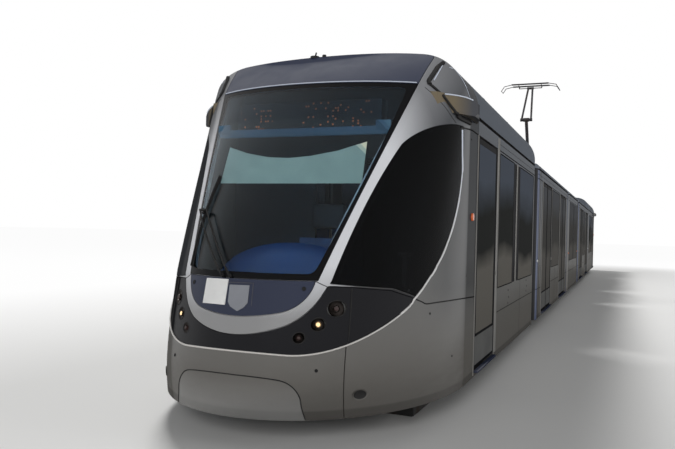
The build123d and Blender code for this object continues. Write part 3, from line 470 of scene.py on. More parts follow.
def roof_paint(name, silver, visor):
    """Silver roof with a blue-grey visor and a black drip channel."""
    n = Nodes(name)
    x, y, z = n.axes()
    front = n.above(n.size(y), -SHELL_BACK)
    visor_foot, channel_head, pod_head = 2.891, 2.7295, 2.86
    edge = n.plus(0.972, n.times(n.minus(z, visor_foot), 0.1815))
    inside = n.times(front, n.below(n.size(x), edge))
    cab_start = -SHELL_BACK + 0.01
    channel = n.times(n.below(z, channel_head), n.below(n.size(y), cab_start))
    pod = n.times(n.above(n.size(y), cab_start), n.below(z, pod_head))
    flakes = n.mix(n.patches(1400.0, 1.0, 0.35, 0.65), darker(silver, 0.86), silver)
    # painted sky reflection: the roof silver is tinted cool blue
    flakes = n.mix(0.85, flakes, tinted(silver, (0.92, 1.05, 1.30)))
    cover = n.mix(n.ramp(n.size(x), 1.24, 1.38), (0.150, 0.122, 0.080), (0.060, 0.062, 0.070))
    colour = n.mix(inside, flakes, visor)
    n.set(Base_Color=n.mix(channel, n.mix(pod, colour, cover), (0.008, 0.008, 0.01)),
          Metallic=n.turned_away(0.5, 0.0))
    n.set(Roughness=n.patches(5.0, 5.0, 0.4, 0.7, 0.32, 0.42))
    n.gloss(0.3, 0.04, 0.06)
    return n.bump(n.noise(55.0, 2.0), 0.02, 0.002).material


def nose_panel_paint(name, colour):
    """Blue-grey centre panel above the silver arc, near-black lamp band below it."""
    n = Nodes(name)
    x, _, z = n.axes()
    wide = n.times(x, x)
    panel_foot, panel_half = 0.925, 0.56
    split = n.plus(panel_foot, n.times(wide, 0.50))
    centre = n.times(n.above(z, split), n.below(n.size(x), panel_half))
    grain = n.patches(650.0, 1.0, 0.3, 0.7)
    n.set(Base_Color=n.mix(grain, n.mix(centre, (0.006, 0.006, 0.008), darker(colour, 0.8)),
                           n.mix(centre, (0.010, 0.010, 0.012), colour)))
    n.set(Roughness=n.ramp(grain, 0, 1, 0.3, 0.42))
    n.gloss(0.14, 0.02, 0.1)
    return n.bump(grain, 0.15, 0.0006).material


def door_leaf(name, colour):
    """Door leaf, black round its glass and body colour on the panel at its foot."""
    n = Nodes(name)
    height = n.axes()[2]
    panel_foot, panel_head = 0.335, 0.612
    panel = n.between(height, panel_foot, panel_head)
    paint = n.mix(n.patches(3.0, 3.0, 0.35, 0.65), darker(colour, 0.85), darker(colour, 1.0))
    n.set(Base_Color=n.mix(panel, (0.009, 0.009, 0.010), paint), Roughness=0.3)
    return n.gloss(0.3, 0.06, 0.02).material


def chrome(name, tint, roughness=0.12):
    """Bright or smoked reflector metal with fine wipe marks."""
    n = Nodes(name)
    n.set(Base_Color=n.mix(n.patches(60.0, 2.0, 0.35, 0.65), darker(tint, 0.7), tint), Metallic=1.0)
    n.set(Roughness=n.patches(40.0, 2.0, 0.3, 0.7, roughness, roughness + 0.12))
    return n.material


def floor_vinyl(name):
    n = Nodes(name)
    speck = n.patches(260.0, 1.0, 0.5, 0.62)
    n.set(Base_Color=n.mix(speck, (0.045, 0.052, 0.06), (0.16, 0.17, 0.18)), Roughness=0.55,
          Specular_IOR_Level=0.2)
    return n.bump(n.noise(90.0, 1.0), 0.15, 0.0008).material


def dot_display(name):
    """Dark indicator face with scattered amber dots."""
    n = Nodes(name)
    x, _, z = n.axes()
    pitch = 42.0
    cells = [n.times(axis, pitch) for axis in (x, z)]
    dot = n.times(*[n.near(n.math("FRACT", cell), 0.5, 0.28) for cell in cells])
    place = n.add("ShaderNodeCombineXYZ")
    for index, cell in enumerate(cells):
        n.wire(n.math("FLOOR", cell), place, index)
    chance = n.add("ShaderNodeTexWhiteNoise")
    n.wire(place.outputs[0], chance, "Vector")
    patch = n.above(n.noise(5.0, 0.0, (1, 1, 0.1)), 0.52)
    chosen = n.times(n.above(chance.outputs["Value"], 0.88), patch)
    lit = n.times(dot, chosen)
    glow = n.mix(lit, (0.006, 0.007, 0.009), (0.62, 0.15, 0.04))
    n.set(Base_Color=glow, Emission_Color=glow, Emission_Strength=0.4, Roughness=0.35,
          Specular_IOR_Level=0.2)
    return n.material


MATERIALS = {}
LAMPS_IN_BAND = [  # x, z, radius, looks of the collar and of the burner
    (0.484, 0.819, 0.042, "lens", "lens"),
    (0.595, 0.914, 0.050, "chrome", "glow"),
    (0.693, 1.027, 0.062, "chrome", "lens"),
]


def make_materials(colours):
    MATERIALS.update(
        body=metallic_paint("silver_grey_paint", colours.body),
        shell=shell_paint("cab_shell_paint", colours.body),
        roof=roof_paint("roof_paint", colours.body, colours.visor),
        panel=nose_panel_paint("nose_panel_paint", colours.panel),
        screen=windscreen_glass("windscreen_glass"),
        window=saloon_glass("saloon_glass", colours.body),
        chrome=chrome("lamp_reflector", (0.30, 0.28, 0.26)),
        smoked=chrome("smoked_bowl", (0.035, 0.030, 0.028), 0.3),
        rim=plastic("panel_rim", (0.07, 0.07, 0.085), 0.35),
        section=section_paint("section_side_paint", colours.body),
        bumper=bumper_paint("bumper_paint", colours.body),
        edge=plastic("satin_frame", (0.17, 0.165, 0.155), 0.35),
        floor=floor_vinyl("floor_vinyl"),
        door=door_leaf("door_leaf_gloss", colours.body),
        frame=steel("bogie_paint", (0.02, 0.02, 0.022), 0.5, 0.5),
        cab=plastic("desk_plastic", (0.03, 0.033, 0.04)),
        seat=plastic("seat_shell_plastic", colours.seat, 0.35),
        wheel=steel("wheel_steel", (0.16, 0.14, 0.13), 0.35, 0.6),
        rubber=rubber("bellows_rubber"),
        pantograph=steel("pantograph_grey", (0.05, 0.05, 0.055), 0.45, 0.3),
        gasket=rubber("window_gasket"),
        # thin bright lines painted as highlights along edges
        bright=metallic_paint("highlight_line_paint", (0.66, 0.66, 0.66)),
        dark_gloss=glossy("black_fired_glass", (0.010, 0.010, 0.012)),
        glow=glowing("burner_glow", (1.0, 0.70, 0.36), 0.95),
        amber=glowing("amber_lens", (0.60, 0.11, 0.02), 0.12),
        lens=glossy("burner_glass", (0.05, 0.03, 0.028), 0.03),
        white=plastic("white_plate", (0.88, 0.88, 0.87), 0.35, 400.0, 0.0001),
        shield=plastic("satin_shield", (0.26, 0.27, 0.30), 0.3),
        blue=glossy("blue_dash", (0.020, 0.070, 0.225), 0.18, 0.5),
        visor=plastic("sun_visor_plastic", (0.66, 0.70, 0.56), 0.5),
        teal=plastic("teal_plastic", (0.045, 0.115, 0.185), 0.4),
        display=dot_display("indicator_face"),
        rail=plastic("satin_rail", (0.24, 0.235, 0.225), 0.3),
        step=plastic("step_edge_plastic", (0.03, 0.035, 0.06), 0.4, 300.0, 0.0006),
        case=plastic("equipment_case_paint", (0.16, 0.163, 0.168), 0.5, 120.0, 0.0003),
        grille=steel("grille_metal", (0.05, 0.05, 0.052), 0.5, 0.2),
        ceramic=glossy("brown_ceramic", (0.10, 0.045, 0.03), 0.12),
        carbon=plastic("contact_carbon", (0.012, 0.012, 0.013), 0.6),
        # near black, partly painted shade under the body
        under=steel("underframe_black", (0.012, 0.012, 0.012), 0.6, 0.25),
        cable=rubber("cable_sheath"),
    )


NODE_FINISH = {
    "cab_shell": "shell", "side_walls": "section", "bumper": "bumper", "roof": "roof",
    "windscreen": "screen", "nose_panels": "panel", "headlamps": "smoked", "floor": "floor",
    "doors": "door", "windows": "window", "bogie_frame": "frame", "cab_interior": "cab",
    "seats": "seat", "tow_bracket": "frame", "bellows": "rubber", "wheelset": "wheel",
}


def finish_cad_nodes():
    for name, node in NODES.items():
        ending = max((e for e in NODE_FINISH if name.endswith(e)), key=len, default=None)
        material = MATERIALS[NODE_FINISH[ending] if ending else "pantograph"]
        node.data.materials.clear()
        node.data.materials.append(material)


# ---------------------------------------------------------------- shape tools
def only(*pieces):
    bpy.ops.object.select_all(action="DESELECT")
    for piece in pieces:
        piece.select_set(True)
    bpy.context.view_layer.objects.active = pieces[0]


def start(kind, **how):
    """Add a primitive with nothing else selected, its place settled in its mesh."""
    bpy.ops.object.select_all(action="DESELECT")
    getattr(bpy.ops.mesh, f"primitive_{kind}_add")(**how)
    bpy.ops.object.transform_apply(location=True, rotation=True, scale=True)
    return bpy.context.object


def edit(piece, *steps, faces=None):
    """Run edit-mode operators on all of a piece, or on the faces that a test picks."""
    only(piece)
    bpy.ops.object.mode_set(mode="EDIT")
    bpy.ops.mesh.select_mode(type="FACE")
    bpy.ops.mesh.select_all(action="DESELECT" if faces else "SELECT")
    if faces:
        bpy.ops.object.mode_set(mode="OBJECT")
        for face in piece.data.polygons:
            face.select = bool(faces(face))
        bpy.ops.object.mode_set(mode="EDIT")
    for operator, values in steps:
        operator(**values)
    bpy.ops.object.mode_set(mode="OBJECT")
    return piece


def slab(low, high, edge=0.006, rounds=2):
    """Box with its edges rounded."""
    low, high = Vector(low), Vector(high)
    size = high - low
    piece = start("cube", size=1, location=(low + high) / 2, scale=size)
    edge = min(edge, 0.4 * min(size))
    return edit(piece, (bpy.ops.mesh.bevel, dict(offset=edge, segments=rounds, affect="EDGES")))


def tube(points, radius, closed=False, curved=False, sides=2):
    """Round bar along points."""
    bpy.ops.object.select_all(action="DESELECT")
    bpy.ops.curve.primitive_nurbs_path_add()
    path = bpy.context.object
    path.data.splines.clear()
    spline = path.data.splines.new("NURBS" if curved else "POLY")
    spline.points.add(len(points) - 1)
    for point, place in zip(spline.points, points):
        point.co = (*place, 1)
    spline.use_cyclic_u = closed
    spline.use_endpoint_u = not closed
    spline.order_u = 3
    path.data.bevel_depth = radius
    path.data.bevel_resolution = sides
    path.data.use_fill_caps = not closed
    bpy.ops.object.convert(target="MESH")
    return bpy.context.object


def stand(piece, place, normal):
    """Turn the upward axis of a piece along a normal and move it to a place."""
    turn = Vector(normal).to_track_quat("Z", "Y").to_euler().to_matrix().to_4x4()
    piece.data.transform(Matrix.Translation(place) @ turn)
    return piece


def sunk(piece, rim, depth, faces):
    """Set the picked faces in by a rim and push them down."""
    return edit(piece, (bpy.ops.mesh.inset, dict(thickness=rim)),
                (bpy.ops.transform.translate, dict(value=(0, 0, -depth))), faces=faces)


def button(place, normal, radius, height, dish=0.0, rim=0.2, flat=1.0, vertices=24):
    """Round boss along a normal, its outer face dished inside a rim; flat squashes it upright."""
    normal = Vector(normal).normalized()
    piece = start("cylinder", vertices=vertices, radius=radius, depth=2 * height, location=(0, 0, 0))

    def top(face):
        return face.normal.z > 0.9

    if dish:
        sunk(piece, radius * rim, dish, top)
    else:
        edit(piece, (bpy.ops.mesh.bevel, dict(offset=min(radius, height) * 0.4, segments=3,
                                              affect="EDGES")), faces=top)
    piece.data.transform(Matrix.Diagonal((1, flat, 1, 1)))
    return stand(piece, place, normal)


def plate(points, thickness, inset=0.0, raise_by=0.0):
    """Flat plate with this outline, thickened along its own normal, with a raised inner field."""
    piece = start("circle", vertices=len(points), radius=1, fill_type="NGON")
    for vertex, place in zip(piece.data.vertices, points):
        vertex.co = place
    piece.data.update()
    normal = piece.data.polygons[0].normal.copy()
    push = [(bpy.ops.mesh.extrude_region_move,
             dict(TRANSFORM_OT_translate=dict(value=tuple(normal * thickness))))]
    if inset:
        push += [(bpy.ops.mesh.inset, dict(thickness=inset)),
                 (bpy.ops.transform.translate, dict(value=tuple(normal * raise_by)))]
    edit(piece, *push)
    return edit(piece, (bpy.ops.mesh.normals_make_consistent, dict(inside=False)))


def joined(parts):
    if len(parts) > 1:
        only(*parts)
        bpy.ops.object.join()
        return bpy.context.object
    return parts[0]


def turned_copy(piece, matrix, flip=False):
    copy = piece.copy()
    copy.data = piece.data.copy()
    copy.data.transform(matrix)
    if flip:
        copy.data.flip_normals()
    bpy.context.collection.objects.link(copy)
    return copy


MIRROR = Matrix.Diagonal((-1, 1, 1, 1))
HALF_TURN = Matrix.Rotation(math.pi, 4, "Z")


def rear_name(name):
    return name.replace("front_", "rear_", 1) if "front_" in name else name + "_rear"


NAMED = {}


def finish(piece, name, finish_name, angle=35):
    NAMED[name] = piece
    piece.name = piece.data.name = name
    piece.data.materials.clear()
    piece.data.materials.append(MATERIALS[finish_name])
    only(piece)
    bpy.ops.object.shade_smooth_by_angle(angle=math.radians(angle))
    return piece


def dress(name, parts, finish_name, body, both=False, rear=True, angle=35):
    """Join parts into a named piece with its finish, on its body, and copy it to the rear half."""
    piece = joined(parts)
    if both:
        piece = joined([piece, turned_copy(piece, MIRROR, True)])
    other = turned_copy(piece, HALF_TURN) if rear else None
    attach(finish(piece, name, finish_name, angle), body)
    if rear:
        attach(finish(other, rear_name(name), finish_name, angle), REAR_OF[body])
    return piece


# ---------------------------------------------------------------- lines that follow the body
SKIN = ["cab_shell", "windscreen", "nose_panels", "bumper", "windows", "side_walls", "doors", "headlamps"]
TREES = {}


def skin_of(names):
    if names not in TREES:
        verts, faces = [], []
        for name in names:
            mesh = NODES[name].data
            base = len(verts)
            verts += [vertex.co.copy() for vertex in mesh.vertices]
            faces += [[base + i for i in face.vertices] for face in mesh.polygons]
        TREES[names] = BVHTree.FromPolygons(verts, faces)
    return TREES[names]


VIEWS = {
    "front": (lambda a, b: Vector((a, NOSE_TIP - 1, b)), Vector((0, 1, 0))),
    "side": (lambda a, b: Vector((HALF_WIDTH + 1, a, b)), Vector((-1, 0, 0))),
    "top": (lambda a, b: Vector((a, b, 5)), Vector((0, 0, -1))),
}


def on_skin(a, b, view="front", names=None):
    """Point and normal where a line from the front, the side or above meets the body."""
    names = names or tuple("front_" + part for part in SKIN)
    origin, way = VIEWS[view]
    place, normal, _, _ = skin_of(tuple(names)).ray_cast(origin(a, b), way)
    if place is None:
        raise RuntimeError(f"nothing of the body at {a:.3f}, {b:.3f} seen from the {view}")
    if normal.dot(way) > 0:
        normal = -normal
    return place, normal


def trail(points, view, lift=0.0, step=0.03, names=None, closed=False):
    """Points close together on the body along a line given in one view."""
    places = []
    pairs = list(zip(points, points[1:] + points[:1] if closed else points[1:]))
    for (a0, b0), (a1, b1) in pairs:
        count = max(1, round(math.hypot(a1 - a0, b1 - b0) / step))
        for i in range(count):
            places.append((a0 + (a1 - a0) * i / count, b0 + (b1 - b0) * i / count))
    if not closed:
        places.append(points[-1])
    spots = [on_skin(a, b, view, names) for a, b in places]
    return [place + normal * lift for place, normal in spots]


def follow(points, lift=0.0, names=SKIN, step=0.03):
    """Smooth line through points, laid on the body."""
    line = bent(points, max(3, round(max((Vector(b) - Vector(a)).length for a, b in
                                         zip(points, points[1:])) / step)))
    tree = skin_of(tuple("front_" + part for part in names))
    spots = [tree.find_nearest(Vector(point)) for point in line]
    return [place + normal * lift for place, normal, _, _ in spots]


def on_circle(x, y, radius, angle):
    return x + radius * math.cos(angle), y + radius * math.sin(angle)


def arc(a, b, c, count=12):
    """Points on the circle through three points of a plane, from a to c."""
    (ax, ay), (bx, by), (cx, cy) = a, b, c
    d = 2 * (ax * (by - cy) + bx * (cy - ay) + cx * (ay - by))
    sa, sb, sc = (px ** 2 + py ** 2 for px, py in (a, b, c))
    ux = (sa * (by - cy) + sb * (cy - ay) + sc * (ay - by)) / d
    uy = (sa * (cx - bx) + sb * (ax - cx) + sc * (bx - ax)) / d
    radius = math.hypot(ax - ux, ay - uy)
    first, middle, last = (math.atan2(y - uy, x - ux) for x, y in (a, b, c))
    turn = (last - first) % math.tau
    if (middle - first) % math.tau > turn:
        turn -= math.tau
    return [on_circle(ux, uy, radius, first + turn * i / count) for i in range(count + 1)]


def grown(line, amount):
    """A line of a plane moved sideways, to its left for a positive amount."""
    out = []
    for i, (x, y) in enumerate(line):
        (x0, y0), (x1, y1) = line[max(i - 1, 0)], line[min(i + 1, len(line) - 1)]
        size = math.hypot(x1 - x0, y1 - y0)
        out.append((x - (y1 - y0) / size * amount, y + (x1 - x0) / size * amount))
    return out


def bent(points, count=6):
    """Smooth line through a few points, so that a seam has no corners."""
    out = []
    ends = [points[0]] + list(points) + [points[-1]]
    for p0, p1, p2, p3 in zip(ends, ends[1:], ends[2:], ends[3:]):
        for i in range(count):
            t = i / count
            out.append(tuple(0.5 * (2 * b + (c - a) * t + (2 * a - 5 * b + 4 * c - d) * t * t
                                    + (3 * b - a - 3 * c + d) * t ** 3)
                             for a, b, c, d in zip(p0, p1, p2, p3)))
    return out + [points[-1]]


def seam(points, radius, names, lift=0.0):
    """Round line through points, laid on these parts of the body."""
    return tube(follow(points, lift, names), radius)


def round_corners(a0, a1, b0, b1, radius, count):
    """The corner arcs of a rectangle in their order round it, each with count steps."""
    centres = [(a1 - radius, b1 - radius, 0), (a0 + radius, b1 - radius, 90),
               (a0 + radius, b0 + radius, 180), (a1 - radius, b0 + radius, 270)]
    return [[on_circle(a, b, radius, math.radians(turn + 90 / count * i)) for i in range(count + 1)]
            for a, b, turn in centres]


def loop(y0, y1, z0, z1):
    """Closed line of a rectangle with round corners on the straight side."""
    return [(HALF_WIDTH, *spot) for corner in round_corners(y0, y1, z0, z1, 0.03, 3) for spot in corner]


# ---------------------------------------------------------------- operators
class TRAM_OT_finishes(bpy.types.Operator):
    """Make the materials and give each node of the frame its own"""
    bl_idname = "tram.finishes"
    bl_label = "Finishes"

    def execute(self, context):
        make_materials(context.scene.tram_colours)
        finish_cad_nodes()
        return {"FINISHED"}


TOW_HOLE_FLATNESS = 0.6


class TRAM_OT_nose(bpy.types.Operator):
    """Seams, dark tubes as painted shade in the cheek gaps, thin bright lines as painted highlights, fixing
    holes, tow hole, blank plate and bare shield of the nose
    """
    bl_idname = "tram.nose"
    bl_label = "Nose"

    def execute(self, context):
        shell = ["cab_shell"]
        coupler_cover = [(0.545, 0.235), (0.527, 0.32), (0.514, 0.403), (0.467, 0.475), (0.386, 0.518),
                         (0.2, 0.538), (0.0, 0.543)]
        panel_end = [(0.781, 0.790), (0.778, 0.98), (0.770, 1.172)]
        flank = [(1.120, -15.243, 1.080), (1.16, -15.16, 1.05), (1.18, -15.10, 1.032),
                 (1.24, -14.914, 1.035), (1.315, -14.493, 1.031), (1.325, -13.92, 1.008)]
        cheek = [(1.024, -14.77, 2.861), (1.073, -14.752, 2.817), (1.117, -14.729, 2.773),
                 (1.156, -14.703, 2.731), (1.187, -14.677, 2.693), (1.231, -14.627, 2.621),
                 (1.26, -14.58, 2.573)]
        post_foot = [(0.553, -15.905, 1.226), (0.590, -15.880, 1.205), (0.622, -15.855, 1.187)]
        seams = [tube(trail(bent(coupler_cover), "front"), 0.0045),
                 tube(trail(panel_end, "front"), 0.0055),
                 seam(flank, 0.0055, shell), seam(cheek, 0.0025, shell), seam(post_foot, 0.003, shell)]
        dress("front_nose_seams", seams, "gasket", FRONT, both=True)

        # painted shade: thick black tubes fill the gap round the cheek and under the pod, standing in for the
        # shade there
        above_cheek = [(1.11, -14.50, 3.12), (1.082, -14.571, 3.079), (1.073, -14.604, 3.045),
                       (1.062, -14.643, 3.006), (1.051, -14.684, 2.963), (1.042, -14.718, 2.926),
                       (1.055, -14.731, 2.893)]
        round_cheek = [(1.055, -14.731, 2.893), (1.113, -14.704, 2.845), (1.171, -14.679, 2.789),
                       (1.206, -14.642, 2.736), (1.242, -14.607, 2.687), (1.263, -14.584, 2.66),
                       (1.287, -14.498, 2.635), (1.324, -14.307, 2.635)]
        under_pod = [(1.268, -14.565, 2.642), (1.29, -14.49, 2.622), (1.323, -14.31, 2.612)]
        gaps = [seam(above_cheek, 0.021, shell), seam(round_cheek, 0.013, shell + ["roof"]),
                seam(under_pod, 0.022, shell)]
        dress("front_cheek_gap", gaps, "gasket", FRONT, both=True)
        # painted highlight: a bright line along the top edge of the pod
        pod_lip = [(1.174, -14.675, 2.815), (1.22, -14.629, 2.815), (1.273, -14.574, 2.813),
                   (1.306, -14.541, 2.809), (1.343, -14.504, 2.802), (1.38, -14.467, 2.787)]
        dress("front_pod_edge", [seam(pod_lip, 0.0065, ["roof"], 0.001)], "bright", FRONT, both=True)
        # painted highlights: bright lines along the lit edge and the back edge of the cheek
        lit_edge = [(1.112, -14.535, 3.095), (1.092, -14.61, 3.01), (1.075, -14.68, 2.935)]
        back_edge = [(1.17, -14.51, 3.086), (1.259, -14.414, 3.003), (1.30, -14.36, 2.90),
                     (1.32, -14.30, 2.83)]
        edges = [seam(lit_edge, 0.005, shell, 0.002), seam(back_edge, 0.0035, shell)]
        dress("front_cheek_edges", edges, "bright", FRONT, both=True)
        self.painted_highlights()

        places = [(*on_skin(x, z), radius, 0.004, 0.003)
                  for x, z, radius in ((0.610, 0.588, 0.012), (0.476, 1.168, 0.016))]
        places += [(*on_skin(y, z, "side"), 0.009, 0.003, 0.002)
                   for y, z in ((-14.672, 0.556), (-14.229, 2.474), (-15.065, 0.951))]
        dress("front_fixing_holes", [button(*place) for place in places], "gasket", FRONT, both=True)

        place, normal = on_skin(0.860, 0.396, names=["front_cab_shell"])
        rim = button(place, normal, 0.064, 0.006, 0.004, 0.18, TOW_HOLE_FLATNESS, 32)
        dress("front_tow_rim", [rim], "body", FRONT, both=True)
        hole = button(place + normal * 0.002, normal, 0.053, 0.005, 0.0038, 0.3, TOW_HOLE_FLATNESS, 32)
        dress("front_tow_hole", [hole], "gasket", FRONT, both=True)
        self.badges()
        return {"FINISHED"}

    def painted_highlights(self):
        """Thin bright lines painted as highlights along the cab side window, the lamp band, the centre panel
        and the visor.
        """
        window = [(1.294, -14.493, 2.524), (1.300, -14.496, 2.337), (1.302, -14.504, 2.067),
                  (1.285, -14.644, 1.737), (1.249, -14.823, 1.476), (1.196, -15.027, 1.264),
                  (1.118, -15.246, 1.082), (1.048, -15.401, 0.978)]
        band = [spot for spot in grown(arc((1.112, 1.062), (0.784, 0.775), (0.420, 0.703), 24)
                                       + arc((0.420, 0.703), (0.0, 0.717), (-0.420, 0.703), 12)[1:7], 0.008)
                if spot[0] < 1.09]
        panel = grown(arc((0.540, 1.223), (0.455, 1.057), (0.330, 0.993), 10)
                      + arc((0.330, 0.993), (0.0, 0.957), (-0.330, 0.993), 12)[1:7], 0.004)
        visor = [(0.0, 2.899), (0.955, 2.899)]
        parts = [seam(window, 0.0085, ["cab_shell", "windows"], 0.003),
                 tube(trail(band, "front", 0.004, names=["front_cab_shell", "front_bumper"]), 0.0070),
                 tube(trail(panel, "front", 0.003, names=["front_cab_shell"]), 0.0055),
                 tube(trail(visor, "front", 0.003, names=["front_roof"]), 0.005)]
        dress("front_bright_edges", parts, "bright", FRONT, both=True)

    def badges(self):
        """Blank white plate and bare shield on the centre panel."""
        card = [(-0.318, 1.210), (-0.099, 1.214), (-0.094, 1.026), (-0.316, 1.023)]
        shield = [(-0.082, 1.175), (0.087, 1.178), (0.094, 1.052), (0.070, 1.018), (0.020, 0.988),
                  (-0.045, 1.018), (-0.072, 1.050)]
        for name, look, outline, lift, field in (
                ("front_blank_plate", "white", card, 0.003, (0.006, 0.008, 0.0015)),
                ("front_bare_shield", "shield", shield, 0.002, (0.005, 0.012, -0.002))):
            spots = [on_skin(x, z) for x, z in outline]
            out = sum((normal for _, normal in spots), Vector()).normalized()
            corners = [place + out * lift for place, _ in reversed(spots)]
            dress(name, [plate(corners, *field)], look, FRONT)
        line = [(-0.095, 1.193), (0.112, 1.196), (0.124, 1.035)]
        dress("front_shield_line", [tube(trail(line, "front", 0.001), 0.003)], "rim", FRONT)


class TRAM_OT_lamps(bpy.types.Operator):
    """Bezels, bowls, collars and burners of the lamps in the dark band, and the side markers"""
    bl_idname = "tram.lamps"
    bl_label = "Lamps"

    def execute(self, context):
        rims, bowls, inner = [], [], []
        for x, z, radius, collar_look, burner_look in LAMPS_IN_BAND:
            circle = [on_circle(x, z, radius * 0.97, a * math.tau / 24) for a in range(24)]
            rims.append(tube(trail(circle, "front", -0.003, 0.02, closed=True), 0.005, closed=True))
            place, normal = on_skin(x, z)
            bowls.append(self.bowl(place, normal, radius))
            collar = button(place - normal * 0.008, normal, radius * 0.42, 0.012, 0.008, 0.25)
            inner.append((collar_look, collar))
            ball = start("uv_sphere", segments=20, ring_count=10, radius=radius * 0.30)
            edit(ball, (bpy.ops.transform.translate, dict(value=(0, 0, -radius * 0.05))),
                 faces=lambda face: face.normal.z > 0.8)
            inner.append((burner_look, stand(ball, place - normal * 0.002, normal)))
        dress("front_lamp_rims", rims, "gasket", FRONT, both=True)
        for piece in (dress("front_lamp_bowls", bowls, "smoked", FRONT, both=True, angle=50),
                      NAMED["rear_lamp_bowls"]):
            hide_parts(piece.name.replace("lamp_bowls", "headlamps"))
        for name, look, angle in (("front_lamp_collars", "chrome", 35), ("front_unlit_burners", "lens", 60),
                                  ("front_lit_burners", "glow", 60)):
            parts = [part for its_look, part in inner if its_look == look]
            dress(name, parts, look, FRONT, both=True, angle=angle)
        place, normal = on_skin(-14.121, 1.764, "side")
        dress("front_side_markers", [button(place, normal, 0.036, 0.018)], "amber", FRONT, both=True)
        return {"FINISHED"}

    def bowl(self, place, normal, radius):
        """Dish as deep as the panel, stepped in towards its middle."""
        deep = 0.036
        piece = start("cylinder", vertices=32, radius=radius * 0.98, depth=deep,
                      location=(0, 0, -deep / 2 - 0.001))
        for share, depth in ((0.04, 0.004), (0.12, 0.007), (0.2, 0.004), (0.2, 0.002)):
            sunk(piece, radius * share, depth, lambda face: face.normal.z > 0.9 and len(face.vertices) > 20)
        return stand(piece, place, normal)


class TRAM_OT_wiper(bpy.types.Operator):
    """Twin-arm wiper with its blade on the windscreen"""
    bl_idname = "tram.wiper"
    bl_label = "Wiper"

    def execute(self, context):
        arms = []
        for foot, head in (((-0.160, 1.236), (-0.612, 1.728)), ((-0.088, 1.236), (-0.515, 1.728))):
            line = trail([foot, (foot[0] - 0.03, foot[1] + 0.04), head], "front", 0.045, 0.08)
            place, normal = on_skin(*foot)
            line[0] = place + normal * 0.03
            arms.append(tube(line, 0.007, curved=True))
            arms.append(button(place, normal, 0.013, 0.026))
        top = trail([(-0.612, 1.728), (-0.515, 1.728)], "front", 0.045, 0.04)
        arms.append(tube(top, 0.010, curved=True))
        middle = trail([(-0.570, 1.735), (-0.555, 1.70)], "front", 0.035, 0.04)
        arms.append(tube([top[1]] + middle, 0.011, curved=True))
        blade = bent([(-0.540, 1.285), (-0.560, 1.55), (-0.550, 1.80), (-0.520, 2.03)])
        arms.append(tube(trail(blade, "front", 0.024, 0.05), 0.007, curved=True))
        rubber_edge = tube(trail(blade, "front", 0.009, 0.05), 0.008, curved=True)
        dress("front_wiper_arms", arms, "gasket", FRONT)
        dress("front_wiper_blade", [rubber_edge], "gasket", FRONT)
        return {"FINISHED"}


class TRAM_OT_cab(bpy.types.Operator):
    """Dashboard hood, sun visor, indicator, desk controls, post and chair rests of the cab"""
    bl_idname = "tram.cab"
    bl_label = "Cab interior"

    def execute(self, context):
        hood = start("uv_sphere", segments=48, ring_count=24, radius=1)
        hood.data.transform(Matrix.Translation((0.05, -15.27, 1.13)) @ Matrix.Diagonal((0.70, 0.36, 0.36, 1)))
        edit(hood, (bpy.ops.mesh.bisect, dict(plane_co=(0, 0, 1.152), plane_no=(0, 0, 1), use_fill=True,
                                              clear_inner=True)))
        dress("front_dash_hood", [hood], "blue", FRONT, angle=50)
        outline = [(-0.575, 2.305), (-0.40, 2.25), (-0.2, 2.215), (0.0, 2.205), (0.2, 2.22), (0.45, 2.26),
                   (0.70, 2.33), (0.665, 1.99), (-0.665, 1.99)]
        panel = plate([(x, -15.30, z) for x, z in outline], 0.004, 0.01, 0.001)
        dress("front_sun_visor", [panel], "visor", FRONT)
        strip = [slab((-0.83, -15.105, 2.417), (0.83, -15.085, 2.488), 0.004),
                 slab((-0.83, -15.108, 2.45), (-0.70, -15.082, 2.537), 0.004),
                 slab((0.70, -15.108, 2.45), (0.83, -15.082, 2.537), 0.004)]
        dress("front_header_strip", strip, "teal", FRONT)
        face = slab((-0.68, -14.96, 2.50), (0.70, -14.80, 2.745), 0.01)
        dress("front_indicator", [face], "display", FRONT)
        desk = [slab((-0.30, -15.22, 1.15), (-0.04, -15.16, 1.34), 0.01),
                slab((0.06, -15.22, 1.15), (0.34, -15.16, 1.33), 0.01),
                tube([(0.48, -15.20, 1.15), (0.48, -15.12, 1.22), (0.47, -15.06, 1.25)], 0.012, curved=True),
                slab((-0.72, -15.45, 0.90), (-0.58, -15.10, 1.16), 0.03, 3)]
        dress("front_desk_controls", desk, "cab", FRONT)
        post = [slab((0.93, -15.0, 1.05), (0.97, -14.96, 1.42), 0.008),
                slab((0.90, -15.03, 1.40), (1.0, -14.93, 1.44), 0.008)]
        dress("front_cab_post", post, "white", FRONT)
        chair = [slab((-0.17, -14.44, 1.62), (0.17, -14.36, 1.86), 0.03, 3),
                 slab((-0.31, -14.84, 1.02), (-0.25, -14.46, 1.07), 0.02, 3),
                 slab((0.25, -14.84, 1.02), (0.31, -14.46, 1.07), 0.02, 3)]
        dress("front_chair_rests", chair, "cab", FRONT)
        return {"FINISHED"}


# ends of the doors and windows along the body, and their heights
CAB_DOORS = [(-13.886, -12.819)]
CAB_WINDOWS = [(-12.628, -11.521), (-10.998, -9.50)]
LINK_DOORS = [(-8.09, -6.49), (-4.59, -2.99)]
LINK_WINDOWS = [(-6.35, -4.73)]
CENTRE_WINDOWS = [(-1.51, -0.09)]
SILL, WINDOW_TOP = 1.0075, 2.5295
DOOR_LOW, DOOR_HIGH = 0.2978, 2.552
SKIRT_FOOT, WAIST, PANEL_TOP, FRIEZE, WALL_HEAD = 0.235, 0.733, 1.0, 2.63, 2.70
MARKER_HEIGHT = 1.2


